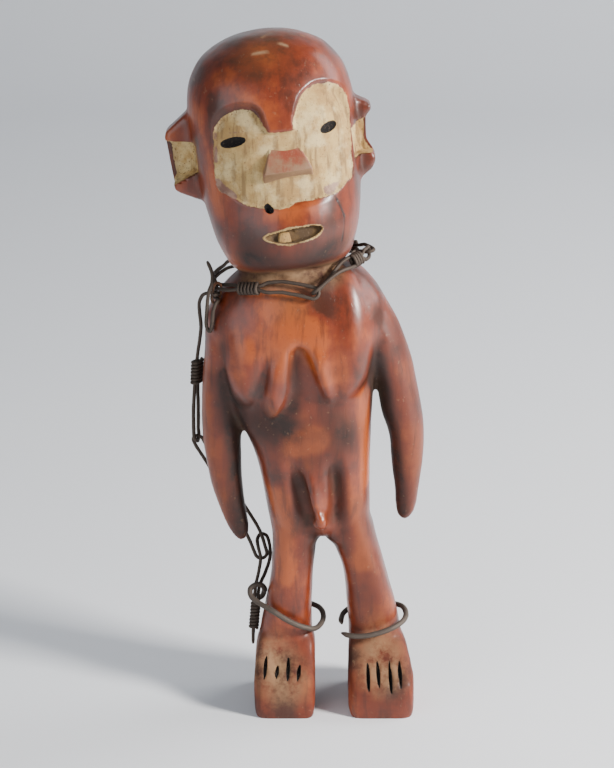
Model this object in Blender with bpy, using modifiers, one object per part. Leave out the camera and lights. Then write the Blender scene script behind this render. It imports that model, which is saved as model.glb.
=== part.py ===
"""A standing wooden figure with an iron wire chain and two ankle rings, in metres, +Z up.

The figure faces -Y. Its sections are written in the carver's own frame, whose upright axis leans
to the viewer's left by LEAN, in shares of the figure's height: one unit is a 375th of HEIGHT.
The feet stand upright, and their sections are written in the same units without the lean.
"""

import math

import bmesh
import bpy
from mathutils import Matrix, Vector

# Driving sizes
HEIGHT = 0.375
LEAN = math.radians(7.5)
HEAD_TURN = math.radians(7.5)
WIRE = 0.0020
RING_WIRE = 0.0016
ANKLET_ROD = 0.0030

# Finishes: colour, metallic, roughness
WOOD_FINISH = ((0.30, 0.085, 0.035), 0.0, 0.38)
CHAIN_FINISH = ((0.075, 0.055, 0.045), 0.6, 0.55)
ANKLET_FINISH = ((0.11, 0.085, 0.07), 0.6, 0.5)

# How finely the surfaces are made
VOXEL = 0.0014
BODY_TRIANGLES = 4400
RING_POINTS = 40
ROW_STEP = 2.5
WRAP_SIDES = 10
DROP_AROUND = 20
DROP_ALONG = 14
ROD_FINENESS = 2
SOFTENING = 4
MITRE = math.radians(16)
LONGEST_RUN = 0.014

UNIT = HEIGHT / 375
TILT = Matrix.Rotation(-LEAN, 4, "Y")

# How boxy the sections are; 2 is an ellipse
HEAD_SQUARE = 2.15
LIMB_SQUARE = 2.1
TRUNK_SQUARE = 2.35
LEG_SQUARE = 2.7
FOOT_SQUARE = 8.0
# Where the cutters start, in front of the figure, and where the face fields' cutter ends
CUT_FRONT = -60.0
TOE_CUT_FRONT = -40.0
EAR_CUT_FRONT = -30.0
FIELDS_BACK = -9.0

# Head: height, left, right, front, back, round an upright axis at HEAD_X
HEAD_X = 10.5
HEAD_ROWS = (
    (247.0, -6.5, 27.5, -12.0, 12.0),
    (250.0, -14.6, 35.6, -15.5, 18.0),
    (253.0, -18.4, 39.4, -20.0, 20.5),
    (255.5, -20.2, 41.2, -26.5, 22.0),
    (258.5, -21.6, 42.8, -34.0, 24.0),
    (262.0, -23.0, 44.2, -38.0, 26.0),
    (268.0, -25.3, 46.5, -41.0, 28.5),
    (276.0, -27.6, 48.8, -42.2, 32.0),
    (285.0, -29.4, 50.5, -41.4, 35.0),
    (294.0, -30.7, 51.7, -40.2, 38.0),
    (313.0, -32.2, 53.1, -39.6, 42.0),
    (332.0, -32.8, 53.6, -40.0, 43.5),
    (341.5, -32.4, 53.0, -39.2, 43.0),
    (349.0, -31.2, 51.5, -37.2, 41.0),
    (355.5, -29.2, 49.1, -34.0, 38.0),
    (362.0, -25.2, 44.9, -29.5, 34.0),
    (366.6, -20.8, 40.3, -24.5, 30.0),
    (372.2, -9.8, 29.5, -15.0, 21.0),
    (374.6, -1.0, 21.0, -8.0, 13.0),
    (375.4, 6.0, 14.5, -3.0, 7.0),
)
# Floor of the sunk face fields: the same kind of rows
FLOOR_ROWS = (
    (280.0, -28.5, 49.5, -41.0, 30.0),
    (291.0, -29.3, 50.3, -39.6, 33.0),
    (300.0, -29.3, 50.3, -37.9, 35.0),
    (312.0, -29.3, 50.3, -36.6, 37.0),
    (330.0, -29.1, 50.1, -36.0, 39.0),
    (345.0, -27.1, 48.1, -33.6, 38.0),
    (360.0, -20.5, 41.5, -26.5, 32.0),
)
# Outline of the two fields in the turned head's own frame: across, height
FIELD_OUTLINE = (
    (-35.3, 310.0),
    (-34.8, 325.0),
    (-33.2, 338.0),
    (-28.8, 343.8),
    (-20.7, 347.2),
    (-13.0, 346.6),
    (-8.0, 342.5),
    (-6.2, 331.2),
    (5.8, 330.4),
    (6.6, 338.0),
    (10.6, 346.6),
    (17.8, 351.2),
    (24.2, 351.8),
    (31.8, 348.9),
    (37.0, 343.2),
    (38.0, 335.0),
    (36.9, 322.0),
    (35.3, 300.6),
    (30.3, 297.0),
    (24.9, 294.4),
    (15.9, 293.4),
    (5.3, 292.6),
    (-8.6, 291.8),
    (-22.6, 294.6),
    (-30.9, 300.0),
    (-34.6, 302.6),
)
# Nose wedge: half-width, forward and height of its top edge, lower front edge and foot
NOSE_ACROSS = 0.3
NOSE_TOP = (6.8, 36.8, 323.6)
NOSE_TIP = (12.3, 42.6, 310.4)
NOSE_FOOT = (12.8, 36.4, 304.6)
NOSE_ROOT = 24.0

NECK_ROWS = (
    (236.0, -13.0, 31.0, -20.0, 21.0),
    (262.0, -13.0, 31.0, -20.0, 21.0),
)
# Trunk and limbs: height, left, right, front, back
TRUNK_ROWS = (
    (101.0, -20.6, 33.6, -11.5, 19.0),
    (104.0, -20.8, 33.6, -15.0, 22.5),
    (109.0, -20.8, 33.8, -18.0, 24.5),
    (117.0, -21.1, 34.8, -20.5, 24.6),
    (126.0, -21.4, 35.8, -22.0, 22.6),
    (136.0, -21.8, 37.0, -23.0, 20.4),
    (150.0, -23.1, 39.2, -23.5, 20.0),
    (160.0, -25.6, 40.7, -24.0, 21.0),
    (170.0, -28.5, 42.4, -26.0, 22.0),
    (181.0, -31.3, 44.5, -29.0, 23.0),
    (190.0, -33.5, 46.0, -30.2, 25.0),
    (200.0, -35.0, 50.0, -30.6, 25.5),
    (215.0, -38.0, 56.0, -30.4, 26.0),
    (229.0, -38.9, 55.5, -28.5, 26.0),
    (237.0, -34.8, 51.7, -25.5, 25.0),
    (243.0, -29.5, 47.5, -22.5, 24.0),
    (250.0, -20.0, 37.5, -19.0, 21.0),
    (253.0, -13.0, 31.0, -16.0, 18.0),
)
# The belly behind the chest's lower edge, and that edge: across and height
BELLY_ROWS = (
    (150.0, -23.1, 39.2, -23.5, 20.0),
    (170.0, -28.5, 42.4, -24.0, 22.0),
    (190.0, -33.5, 46.0, -24.4, 25.0),
    (215.0, -38.0, 56.0, -25.0, 26.0),
    (230.0, -38.9, 55.5, -25.0, 26.0),
)
CHEST_EDGE = (
    (-60.0, 214.0),
    (-38.2, 209.5),
    (-31.0, 198.0),
    (-23.7, 188.0),
    (-18.8, 191.7),
    (-14.2, 198.0),
    (-11.2, 187.0),
    (-8.7, 178.0),
    (-4.2, 183.5),
    (1.2, 196.0),
    (6.4, 211.0),
    (10.6, 199.0),
    (15.7, 189.5),
    (20.8, 184.0),
    (25.0, 189.5),
    (29.0, 183.5),
    (36.7, 189.0),
    (44.6, 197.5),
    (52.4, 210.0),
    (80.0, 214.0),
    (80.0, 156.0),
    (-60.0, 156.0),
)
CHEST_CUT_BACK = -17.3
RIGHT_ARM_ROWS = (
    (101.0, -39.0, -36.0, -2.5, 2.0),
    (104.0, -41.2, -33.6, -4.5, 4.0),
    (110.0, -44.0, -32.8, -6.0, 5.5),
    (120.0, -46.4, -33.0, -8.0, 7.5),
    (135.0, -49.2, -32.5, -10.0, 10.0),
    (150.0, -50.4, -31.0, -11.5, 12.0),
    (163.0, -50.1, -29.3, -12.5, 13.5),
    (181.0, -48.0, -28.0, -13.5, 15.0),
    (198.0, -44.9, -26.0, -15.0, 16.0),
    (213.0, -41.7, -20.0, -17.0, 17.0),
    (226.0, -39.6, -12.0, -17.0, 18.0),
    (232.0, -37.0, -11.0, -14.0, 17.0),
    (240.0, -30.0, -12.0, -10.0, 14.0),
)
LEFT_ARM_ROWS = (
    (101.5, 50.8, 53.4, -2.0, 1.5),
    (103.5, 49.0, 55.6, -3.5, 3.0),
    (108.0, 47.9, 58.4, -5.5, 5.0),
    (120.0, 48.4, 61.8, -8.0, 7.5),
    (138.0, 48.7, 66.1, -10.0, 10.0),
    (152.0, 49.0, 68.2, -11.5, 12.0),
    (165.0, 46.8, 68.3, -12.5, 13.5),
    (183.0, 45.5, 67.1, -13.5, 15.0),
    (193.0, 42.0, 66.1, -15.0, 16.0),
    (211.0, 35.0, 62.4, -17.0, 17.0),
    (230.0, 25.0, 55.3, -17.0, 18.0),
    (237.0, 26.0, 51.7, -14.0, 17.0),
    (244.0, 28.0, 46.5, -10.0, 14.0),
)
RIGHT_LEG_ROWS = (
    (33.0, -38.6, -7.0, -10.0, 17.0),
    (42.0, -36.3, -6.6, -10.5, 16.5),
    (56.0, -32.3, -5.2, -12.0, 16.0),
    (66.0, -28.6, -3.5, -12.5, 16.0),
    (80.0, -24.5, -1.1, -13.0, 16.5),
    (90.0, -22.6, 1.5, -13.0, 18.0),
    (95.5, -21.6, 3.0, -13.5, 20.0),
    (101.0, -20.9, 7.0, -14.0, 21.0),
    (114.0, -19.5, 5.5, -14.0, 18.0),
)
LEFT_LEG_ROWS = (
    (33.0, 12.5, 42.0, -10.0, 17.0),
    (45.0, 13.7, 41.5, -10.5, 16.5),
    (55.5, 14.4, 40.6, -12.0, 16.0),
    (66.0, 15.0, 39.0, -12.5, 16.0),
    (80.0, 14.6, 37.1, -13.0, 16.5),
    (89.5, 12.6, 35.6, -13.0, 18.0),
    (94.5, 10.9, 35.0, -13.5, 20.0),
    (99.0, 7.0, 34.6, -14.0, 21.0),
    (114.0, 8.0, 32.0, -14.0, 18.0),
)
# Feet, upright: forward place, left, right, below, above
RIGHT_FOOT_ROWS = (
    (-26.0, -39.6, -14.0, -2.0, 21.5),
    (-24.5, -42.4, -11.6, -2.0, 23.6),
    (-19.0, -43.8, -10.6, -2.0, 29.5),
    (-9.0, -43.9, -10.4, -2.0, 41.5),
    (6.0, -43.6, -10.4, -2.0, 42.0),
    (17.0, -42.6, -11.2, -2.0, 33.0),
    (24.0, -40.0, -13.6, -2.0, 25.0),
    (26.0, -36.0, -17.0, -2.0, 18.0),
)
LEFT_FOOT_ROWS = (
    (-26.0, 12.2, 38.0, -2.0, 17.0),
    (-24.5, 9.6, 42.0, -2.0, 19.4),
    (-19.0, 8.0, 43.6, -2.0, 26.0),
    (-9.0, 7.7, 43.9, -2.0, 40.0),
    (6.0, 8.0, 43.4, -2.0, 41.0),
    (17.0, 9.0, 42.6, -2.0, 33.0),
    (24.0, 11.5, 40.0, -2.0, 25.0),
    (26.0, 15.0, 36.0, -2.0, 18.0),
)
# Above this height each foot's outer flank leans in by this slope
RIGHT_FLANK = (22.0, 0.08)
LEFT_FLANK = (18.0, 0.24)
# Carved masses, tapering to a point: top, tip, widest half-width and half-depth
BREASTS = (
    ((-1.0, -20.5, 232.0), (-11.0, -25.5, 172.0), 8.0, 9.4),
    ((13.5, -20.5, 232.0), (19.0, -25.5, 175.0), 8.0, 9.4),
)
CHEST_LOBES = (
    ((-13.0, -9.0, 250.0), (-22.0, -20.0, 180.0), 14.0, 13.6),
    ((36.0, -9.5, 250.0), (29.0, -21.0, 178.0), 15.0, 13.6),
)
LOINS = (
    ((2.0, -19.5, 148.0), (6.0, -22.0, 114.0), 4.6, 5.0),
    ((6.0, -22.0, 120.0), (7.6, -23.5, 109.5), 4.6, 4.6),
)
GROIN_CUTS = (
    ((-6.0, -23.5, 147.0), (-1.0, -21.0, 108.0), 1.8, 2.6),
    ((18.6, -23.5, 148.0), (13.6, -21.0, 108.0), 1.8, 2.6),
)
# Mouth, eyes and toes: slots cut as long leaves
MOUTH_OUTLINE = (
    (-15.9, 277.8),
    (-8.5, 279.9),
    (2.0, 281.0),
    (10.5, 280.6),
    (13.6, 278.4),
    (8.0, 275.0),
    (-2.0, 273.6),
    (-10.5, 274.8),
)
MOUTH_DEPTH = 3.2
TEETH = (-9.0, -3.0, 273.0, 279.4)
TEETH_SUNK = 1.0
EYES = (
    ((-31.4, -22.2, 325.9), (-17.8, -31.9, 328.3), 2.6, 1.3),
    ((17.8, -33.3, 326.6), (30.2, -24.8, 328.3), 2.6, 1.3),
)
RIGHT_TOES = ((-37.1, 33.3, -38.5, 22.4), (-30.9, 29.0, -31.9, 23.0),
              (-25.1, 32.7, -25.7, 21.6), (-18.8, 29.3, -20.4, 21.8))
LEFT_TOES = ((18.1, 29.3, 18.8, 15.4), (23.3, 30.3, 24.5, 17.4),
             (29.8, 30.3, 31.1, 14.4), (35.3, 30.3, 36.3, 17.4))
TOE_WIDTH = 1.8
TOE_DEPTH = 3.6
# Ears: outline across and height, then the hollow's corners, in the carver's frame
RIGHT_EAR = ((-28.0, 341.0), (-33.5, 338.6), (-45.6, 330.2), (-46.2, 327.5), (-44.9, 299.6),
             (-43.4, 298.2), (-34.0, 293.2), (-28.0, 291.0))
RIGHT_EAR_HOLLOW = ((-60.0, 326.6), (-60.0, 301.6), (-44.6, 302.6), (-31.0, 308.2), (-30.0, 323.0),
                    (-45.9, 326.0))
LEFT_EAR = ((49.0, 337.0), (54.6, 335.3), (61.4, 331.6), (61.6, 328.4), (58.4, 326.0), (56.8, 312.0),
            (60.4, 305.6), (60.8, 301.6), (58.1, 297.4), (51.9, 293.6), (49.0, 292.6))
LEFT_EAR_HOLLOW = ((70.0, 325.0), (58.8, 325.4), (50.0, 322.6), (50.0, 306.6), (59.8, 306.4),
                   (70.0, 306.4))
# Half the distance between a link's two legs: in a small eye, in a long loop and inside a coil
EYE_HALF = 2.7
LOOP_HALF = 3.0
WAIST_HALF = 1.06
# Each link: the middle line from one end bend to the other, the way its two legs lie apart at the
# start and at the end, half the distance between them along it, and the part its coil covers
LINKS = {
    "neck_link_front_left": (
        ((-32.3, -6.2, 246.9), (-28.2, -9.9, 246.8), (-19.2, -18.9, 247.2), (-12.8, -22.2, 247.2),
         (-6.0, -23.9, 247.0), (3.0, -24.8, 246.7), (9.6, -25.6, 245.2), (15.4, -26.3, 243.4),
         (22.6, -27.1, 240.7)),
        ((0.67, 0.74, 0.0), (0.0, 0.42, 0.9)),
        ((0.0, EYE_HALF), (0.22, EYE_HALF), (0.3, WAIST_HALF), (0.48, WAIST_HALF), (0.58, LOOP_HALF),
         (1.0, LOOP_HALF)),
        ((-19.2, -18.9, 247.2), (-7.0, -23.8, 247.0)),
    ),
    "neck_link_front_right": (
        ((20.0, -27.1, 241.8), (23.0, -26.0, 243.1), (30.6, -22.2, 248.2), (36.0, -18.1, 250.8),
         (41.2, -13.0, 251.9), (46.6, -5.7, 252.0), (50.0, 0.4, 252.0), (51.0, 5.4, 252.0)),
        ((0.0, 0.9, -0.42), (0.0, 0.0, 1.0)),
        ((0.0, EYE_HALF), (0.6, EYE_HALF), (0.66, WAIST_HALF), (0.78, WAIST_HALF), (0.84, EYE_HALF),
         (1.0, EYE_HALF)),
        ((41.2, -12.9, 251.9), (46.4, -5.9, 252.0)),
    ),
    "neck_link_back_right": (
        ((50.6, 2.9, 252.0), (50.4, 7.4, 251.9), (45.4, 17.0, 251.6), (36.4, 25.4, 251.3),
         (30.2, 27.8, 251.1), (25.6, 28.4, 251.0)),
        ((1.0, 0.0, 0.0), (0.0, 0.2, 1.0)),
        ((0.0, EYE_HALF), (0.3, EYE_HALF), (0.42, WAIST_HALF), (0.6, WAIST_HALF), (0.72, EYE_HALF),
         (1.0, EYE_HALF)),
        ((44.0, 18.6, 251.6), (37.6, 24.5, 251.3)),
    ),
    "neck_link_back": (
        ((28.1, 28.1, 251.0), (23.5, 28.7, 251.0), (6.0, 30.0, 250.8), (-8.4, 29.2, 250.6),
         (-13.4, 28.2, 250.5)),
        ((0.0, 1.0, 0.0), (0.0, 0.2, 1.0)),
        ((0.0, EYE_HALF), (0.2, EYE_HALF), (0.34, WAIST_HALF), (0.62, WAIST_HALF), (0.76, EYE_HALF),
         (1.0, EYE_HALF)),
        ((13.0, 29.7, 250.9), (1.0, 30.0, 250.8)),
    ),
    "neck_link_back_left": (
        ((-10.8, 28.8, 250.5), (-14.4, 28.0, 250.4), (-18.6, 26.4, 250.1), (-26.0, 20.4, 249.2),
         (-32.0, 9.6, 247.8),
         (-32.2, -1.4, 246.9), (-30.5, -7.8, 246.9)),
        ((0.2, 1.0, 0.0), (0.0, 0.0, 1.0)),
        ((0.0, EYE_HALF), (0.25, EYE_HALF), (0.4, WAIST_HALF), (0.6, WAIST_HALF), (0.75, EYE_HALF),
         (1.0, EYE_HALF)),
        None,
    ),
    "arm_link": (
        ((-54.5, 9.6, 160.2), (-52.8, 10.4, 154.0), (-49.2, 12.2, 145.0), (-40.0, 14.4, 121.0),
         (-32.2, 13.2, 100.0), (-29.6, 12.0, 89.0), (-28.6, 11.6, 84.0)),
        ((0.94, -0.35, 0.0), (0.94, 0.1, 0.3)),
        ((0.0, LOOP_HALF), (0.6, LOOP_HALF), (0.8, 3.7), (1.0, 3.2)),
        None,
    ),
}
RING_LINE = ((-29.4, -11.0, 249.3), (-30.0, -11.6, 246.8), (-31.5, -13.2, 241.9), (-32.6, -14.4, 239.8))
RING_ACROSS = ((0.75, 0.66, 0.0), (0.75, 0.66, 0.0))
RING_HALF = 2.6
# Routes of the pieces that aren't plain loops, in the carver's frame
HOOK_ROUTE = ((-33.0, -13.0, 262.2), (-31.3, -14.0, 255.7), (-32.0, -15.6, 250.7), (-34.4, -16.8, 246.1),
              (-37.0, -16.4, 235.4), (-38.2, -15.6, 228.6), (-36.9, -16.0, 224.9), (-35.2, -16.8, 228.6),
              (-33.4, -17.6, 236.0), (-31.8, -17.3, 239.4), (-30.2, -15.5, 241.6), (-31.2, -13.1, 242.0),
              (-32.5, -11.0, 241.9))
SHOULDER_ROUTE = ((-32.4, -16.6, 244.4), (-30.2, -15.5, 244.3), (-29.5, -13.8, 244.3),
                  (-30.6, -12.2, 244.3), (-32.4, -10.8, 244.3), (-35.4, -9.2, 244.0),
                  (-38.4, -7.0, 242.6), (-41.0, -4.0, 238.0), (-41.9, -1.0, 231.0),
                  (-42.4, 1.6, 223.6), (-44.4, 4.0, 215.4), (-47.3, 6.0, 205.3),
                  (-50.8, 6.8, 190.4), (-53.6, 6.4, 176.0), (-55.3, 6.3, 163.4),
                  (-55.2, 6.8, 159.6), (-54.2, 9.8, 157.1), (-53.3, 12.8, 159.8),
                  (-53.1, 12.9, 163.4), (-51.4, 11.4, 175.0), (-49.6, 9.6, 188.6),
                  (-48.4, 8.4, 195.0))
SHOULDER_COIL = ((-47.3, 6.4, 204.6), (-50.1, 8.1, 189.4))
SHOULDER_ACROSS = (0.6, 0.8, 0.0)
ANKLE_ROUTE = ((-40.3, 3.0, 37.6), (-39.3, 3.0, 44.4), (-38.0, 2.9, 51.0), (-36.4, 2.6, 61.5),
               (-35.3, 2.9, 67.0), (-34.2, 3.8, 71.6), (-31.4, 6.4, 79.0), (-29.6, 8.0, 85.5),
               (-30.0, 9.0, 90.6), (-30.3, 12.8, 94.6), (-28.2, 16.0, 96.6), (-25.0, 16.4, 94.6),
               (-24.1, 14.9, 88.0), (-25.2, 13.2, 82.0), (-28.2, 9.4, 76.4), (-31.7, 5.8, 71.4),
               (-33.3, 4.5, 67.0), (-34.3, 3.8, 61.0))
ANKLE_COIL = ((-35.2, 3.1, 63.0), (-39.0, 3.0, 45.8))
ANKLET_RIGHT_ROUTE = ((-34.6, 8.2, 60.8), (-31.7, 8.0, 63.2), (-30.2, 6.4, 66.4), (-29.6, 3.4, 69.0),
                      (-30.4, 0.8, 72.2), (-33.4, -0.8, 73.9), (-36.9, -2.0, 72.2), (-36.8, -4.6, 68.7),
                      (-33.0, -8.2, 66.0), (-28.2, -12.2, 63.9), (-23.7, -15.1, 61.3), (-17.1, -16.2, 56.1),
                      (-10.0, -15.1, 51.4), (-4.6, -10.6, 48.0), (-1.2, -3.0, 47.2), (0.4, 4.0, 48.4),
                      (-0.9, 11.0, 50.1), (-5.6, 17.0, 51.0), (-12.2, 20.0, 52.4), (-19.7, 20.0, 55.0),
                      (-25.0, 18.6, 57.2))
ANKLET_LEFT_ROUTE = ((9.6, -9.4, 42.9), (14.1, -12.6, 42.1), (19.5, -14.2, 41.7), (27.7, -15.0, 42.2),
                     (37.5, -13.4, 43.8), (43.4, -8.0, 44.7), (45.8, -1.0, 45.3), (45.0, 7.0, 46.3),
                     (41.4, 13.6, 46.0), (34.2, 19.0, 45.6), (26.4, 20.4, 45.6), (18.0, 17.8, 46.2),
                     (12.2, 11.0, 46.6), (10.0, 3.0, 46.0), (10.2, -2.6, 45.4))
TAPER = 0.62
SLIVER = 0.00005
# A coil's half depth and half height in wire widths, and the depth of its grooves
COIL_DEPTH = 1.45
COIL_HEIGHT = 1.85
COIL_GROOVE = 0.22
COIL_RIDGE = 2 * WIRE
# Steps in each stretch of a route, in a quarter of an end bend and along a link's legs
LINE_SHARES = 8
ROUTE_SHARES = 6
ANKLET_SHARES = 4
BEND_STEPS = 3
LEG_STEPS = 40
EAR_FRONT = -5.0
EAR_BACK = 8.5
EAR_PANEL = 4.6


def reset_scene():
    """Removes every object that the open file holds."""
    for obj in list(bpy.data.objects):
        bpy.data.objects.remove(obj, do_unlink=True)


def collection(name, hidden=False):
    made = bpy.data.collections.new(name)
    bpy.context.scene.collection.children.link(made)
    made.hide_render = hidden
    return made


def material(name, colour, metallic, roughness):
    """A Principled BSDF material."""
    made = bpy.data.materials.new(name)
    made.use_nodes = True
    shader = made.node_tree.nodes["Principled BSDF"]
    shader.inputs["Base Color"].default_value = (*colour, 1.0)
    shader.inputs["Metallic"].default_value = metallic
    shader.inputs["Roughness"].default_value = roughness
    return made


def new_object(name, bm, home):
    """Turns a bmesh into a linked object with its faces pointing out."""
    bmesh.ops.recalc_face_normals(bm, faces=bm.faces)
    mesh = bpy.data.meshes.new(name)
    bm.to_mesh(mesh)
    bm.free()
    obj = bpy.data.objects.new(name, mesh)
    home.objects.link(obj)
    return obj


def baked(obj):
    """Replaces an object's mesh by what its modifiers make of it."""
    graph = bpy.context.evaluated_depsgraph_get()
    graph.update()
    mesh = bpy.data.meshes.new_from_object(obj.evaluated_get(graph))
    obj.modifiers.clear()
    obj.data = mesh
    return obj


def boolean(target, tool, operation):
    """Joins or cuts the target by the tool, and keeps the result as the target's mesh."""
    step = target.modifiers.new(operation.lower(), "BOOLEAN")
    step.operation = operation
    step.solver = "EXACT"
    step.object = tool
    baked(target)


def hide_tool(obj, home):
    """Marks an object as a construction tool that isn't part of the figure."""
    for owner in list(obj.users_collection):
        owner.objects.unlink(obj)
    home.objects.link(obj)
    obj.hide_render = True
    obj.display_type = "WIRE"


def free_of_slivers(obj):
    """Takes out the shortest edges, the folded faces and the loose crumbs that the cuts leave."""
    bm = bmesh.new()
    bm.from_mesh(obj.data)
    bmesh.ops.triangulate(bm, faces=bm.faces)
    bmesh.ops.dissolve_degenerate(bm, dist=SLIVER, edges=bm.edges)
    bmesh.ops.triangulate(bm, faces=bm.faces)
    folded = [
        face for face in bm.faces
        if any(len(edge.link_faces) == 1 for edge in face.edges)
        and any(len(edge.link_faces) > 2 for edge in face.edges)
    ]
    bmesh.ops.delete(bm, geom=folded, context="FACES")
    left = set(bm.verts)
    shells = []
    while left:
        shell = {left.pop()}
        edge_of_shell = list(shell)
        while edge_of_shell:
            vert = edge_of_shell.pop()
            for edge in vert.link_edges:
                other = edge.other_vert(vert)
                if other in left:
                    left.remove(other)
                    shell.add(other)
                    edge_of_shell.append(other)
        shells.append(shell)
    main_shell = max(shells, key=len)
    crumbs = [vert for vert in bm.verts if vert not in main_shell]
    bmesh.ops.delete(bm, geom=crumbs, context="VERTS")
    bm.to_mesh(obj.data)
    bm.free()


def table_at(rows, place):
    """Values of a table at one place, along a smooth curve through its rows."""
    last = len(rows) - 1
    index = 0
    while index < last - 1 and rows[index + 1][0] < place:
        index += 1
    near = [rows[min(max(index + k, 0), last)] for k in (-1, 0, 1, 2)]
    before, low, high, after = near
    span = high[0] - low[0]
    t = (place - low[0]) / span
    values = []
    for k in range(1, len(low)):
        slope = (high[k] - low[k]) / span
        start = slope if before is low else (high[k] - before[k]) / (high[0] - before[0])
        end = slope if after is high else (after[k] - low[k]) / (after[0] - low[0])
        values.append(
            (2 * t**3 - 3 * t**2 + 1) * low[k]
            + (t**3 - 2 * t**2 + t) * span * start
            + (3 * t**2 - 2 * t**3) * high[k]
            + (t**3 - t**2) * span * end
        )
    return values


def section_ring(bm, place, left, right, front, back, squareness):
    """One closed ring of a loft: a rounded section that fills its four limits."""
    circle = bmesh.ops.create_circle(bm, cap_ends=False, radius=1.0, segments=RING_POINTS)
    power = 2.0 / squareness
    middle = Vector(((left + right) / 2, (front + back) / 2))
    half = Vector(((right - left) / 2, (back - front) / 2))
    for vert in circle["verts"]:
        x, y = vert.co.x, vert.co.y
        across = math.copysign(abs(x) ** power, x)
        along = math.copysign(abs(y) ** power, y)
        vert.co = Vector((middle.x + half.x * across, middle.y + half.y * along, place))
    return list({edge for vert in circle["verts"] for edge in vert.link_edges})


def loft(name, rows, squareness, home, frame):
    """A closed solid through a table's sections, in units, placed by a matrix."""
    bm = bmesh.new()
    first, last = rows[0][0], rows[-1][0]
    count = max(2, math.ceil((last - first) / ROW_STEP))
    places = sorted({row[0] for row in rows} | {first + (last - first) * k / count for k in range(count)})
    rings = [section_ring(bm, place, *table_at(rows, place), squareness) for place in places]
    for below, above in zip(rings, rings[1:]):
        bmesh.ops.bridge_loops(bm, edges=below + above)
    for ring in (rings[0], rings[-1]):
        bmesh.ops.contextual_create(bm, geom=ring)
    bmesh.ops.transform(bm, matrix=frame, verts=bm.verts)
    return new_object(name, bm, home)


def drop(name, top, tip, width, depth, home, frame):
    """A long rounded mass from one point to another."""
    bm = bmesh.new()
    bmesh.ops.create_uvsphere(bm, u_segments=DROP_AROUND, v_segments=DROP_ALONG, radius=1.0)
    start, end = Vector(top), Vector(tip)
    turn = (start - end).to_track_quat("Z", "Y")
    half = (start - end).length / 2
    shape = Matrix.LocRotScale((start + end) / 2, turn, Vector((width, depth, half)))
    bmesh.ops.transform(bm, matrix=frame @ shape, verts=bm.verts)
    return new_object(name, bm, home)


def prism(name, outline, near, far, home, frame):
    """A flat outline of across and height, drawn out along the frame's Y."""
    curve = bpy.data.curves.new(name, "CURVE")
    curve.dimensions = "2D"
    curve.fill_mode = "BOTH"
    curve.extrude = (far - near) / 2
    line = curve.splines.new("POLY")
    line.points.add(len(outline) - 1)
    for point, (across, height) in zip(line.points, outline):
        point.co = (across, height, 0.0, 1.0)
    line.use_cyclic_u = True
    flat = bpy.data.objects.new(name, curve)
    home.objects.link(flat)
    upright = Matrix.Translation((0.0, (near + far) / 2, 0.0)) @ Matrix.Rotation(math.pi / 2, 4, "X")
    return meshed(flat, home, frame @ upright)


def meshed(curve_object, home, frame):
    """The mesh of a curve object, with its caps welded, in the place that the matrix gives."""
    graph = bpy.context.evaluated_depsgraph_get()
    graph.update()
    mesh = bpy.data.meshes.new_from_object(curve_object.evaluated_get(graph))
    name = curve_object.name
    bpy.data.objects.remove(curve_object, do_unlink=True)
    bm = bmesh.new()
    bm.from_mesh(mesh)
    bmesh.ops.remove_doubles(bm, verts=bm.verts, dist=0.000001)
    bmesh.ops.transform(bm, matrix=frame, verts=bm.verts)
    return new_object(name, bm, home)


def leaf(name, start, end, width, near, far, home, frame):
    """A slot cutter whose outline is a leaf between two points of across and height."""
    a, b = Vector(start), Vector(end)
    side = (b - a).orthogonal().normalized() * width / 2
    outline = [a]
    outline += [a.lerp(b, share) + side * math.sin(math.pi * share) for share in (0.2, 0.5, 0.8)]
    outline.append(b)
    outline += [a.lerp(b, share) - side * math.sin(math.pi * share) for share in (0.8, 0.5, 0.2)]
    return prism(name, outline, near, far, home, frame)


def nose(home, frame):
    """The nose: a wedge whose front slopes out and whose underside slopes back."""
    bm = bmesh.new()
    corners = []
    for half, forward, height in (NOSE_TOP, NOSE_TIP, NOSE_FOOT):
        corners += [(NOSE_ACROSS - half, -forward, height), (NOSE_ACROSS + half, -forward, height)]
        corners += [(NOSE_ACROSS - half, -NOSE_ROOT, height), (NOSE_ACROSS + half, -NOSE_ROOT, height)]
    for corner in corners:
        bmesh.ops.create_vert(bm, co=corner)
    hull = bmesh.ops.convex_hull(bm, input=bm.verts)
    unused = hull["geom_interior"] + hull["geom_unused"]
    spare = {item for item in unused if isinstance(item, bmesh.types.BMVert)}
    bmesh.ops.delete(bm, geom=list(spare), context="VERTS")
    bmesh.ops.transform(bm, matrix=frame, verts=bm.verts)
    return new_object("nose", bm, home)


def lean_flank(foot, side, start, slope):
    """Leans a foot's outer side inwards above a height."""
    middle = sum(vert.co.x for vert in foot.data.vertices) / len(foot.data.vertices)
    for vert in foot.data.vertices:
        if side * (vert.co.x - middle) > 0:
            vert.co.x -= side * slope * max(0.0, vert.co.z - start * UNIT)
    return foot


def joined(name, pieces, home):
    """One object made of several closed meshes, before they are fused."""
    bm = bmesh.new()
    for piece in pieces:
        bm.from_mesh(piece.data)
        bpy.data.objects.remove(piece, do_unlink=True)
    return new_object(name, bm, home)


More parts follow.
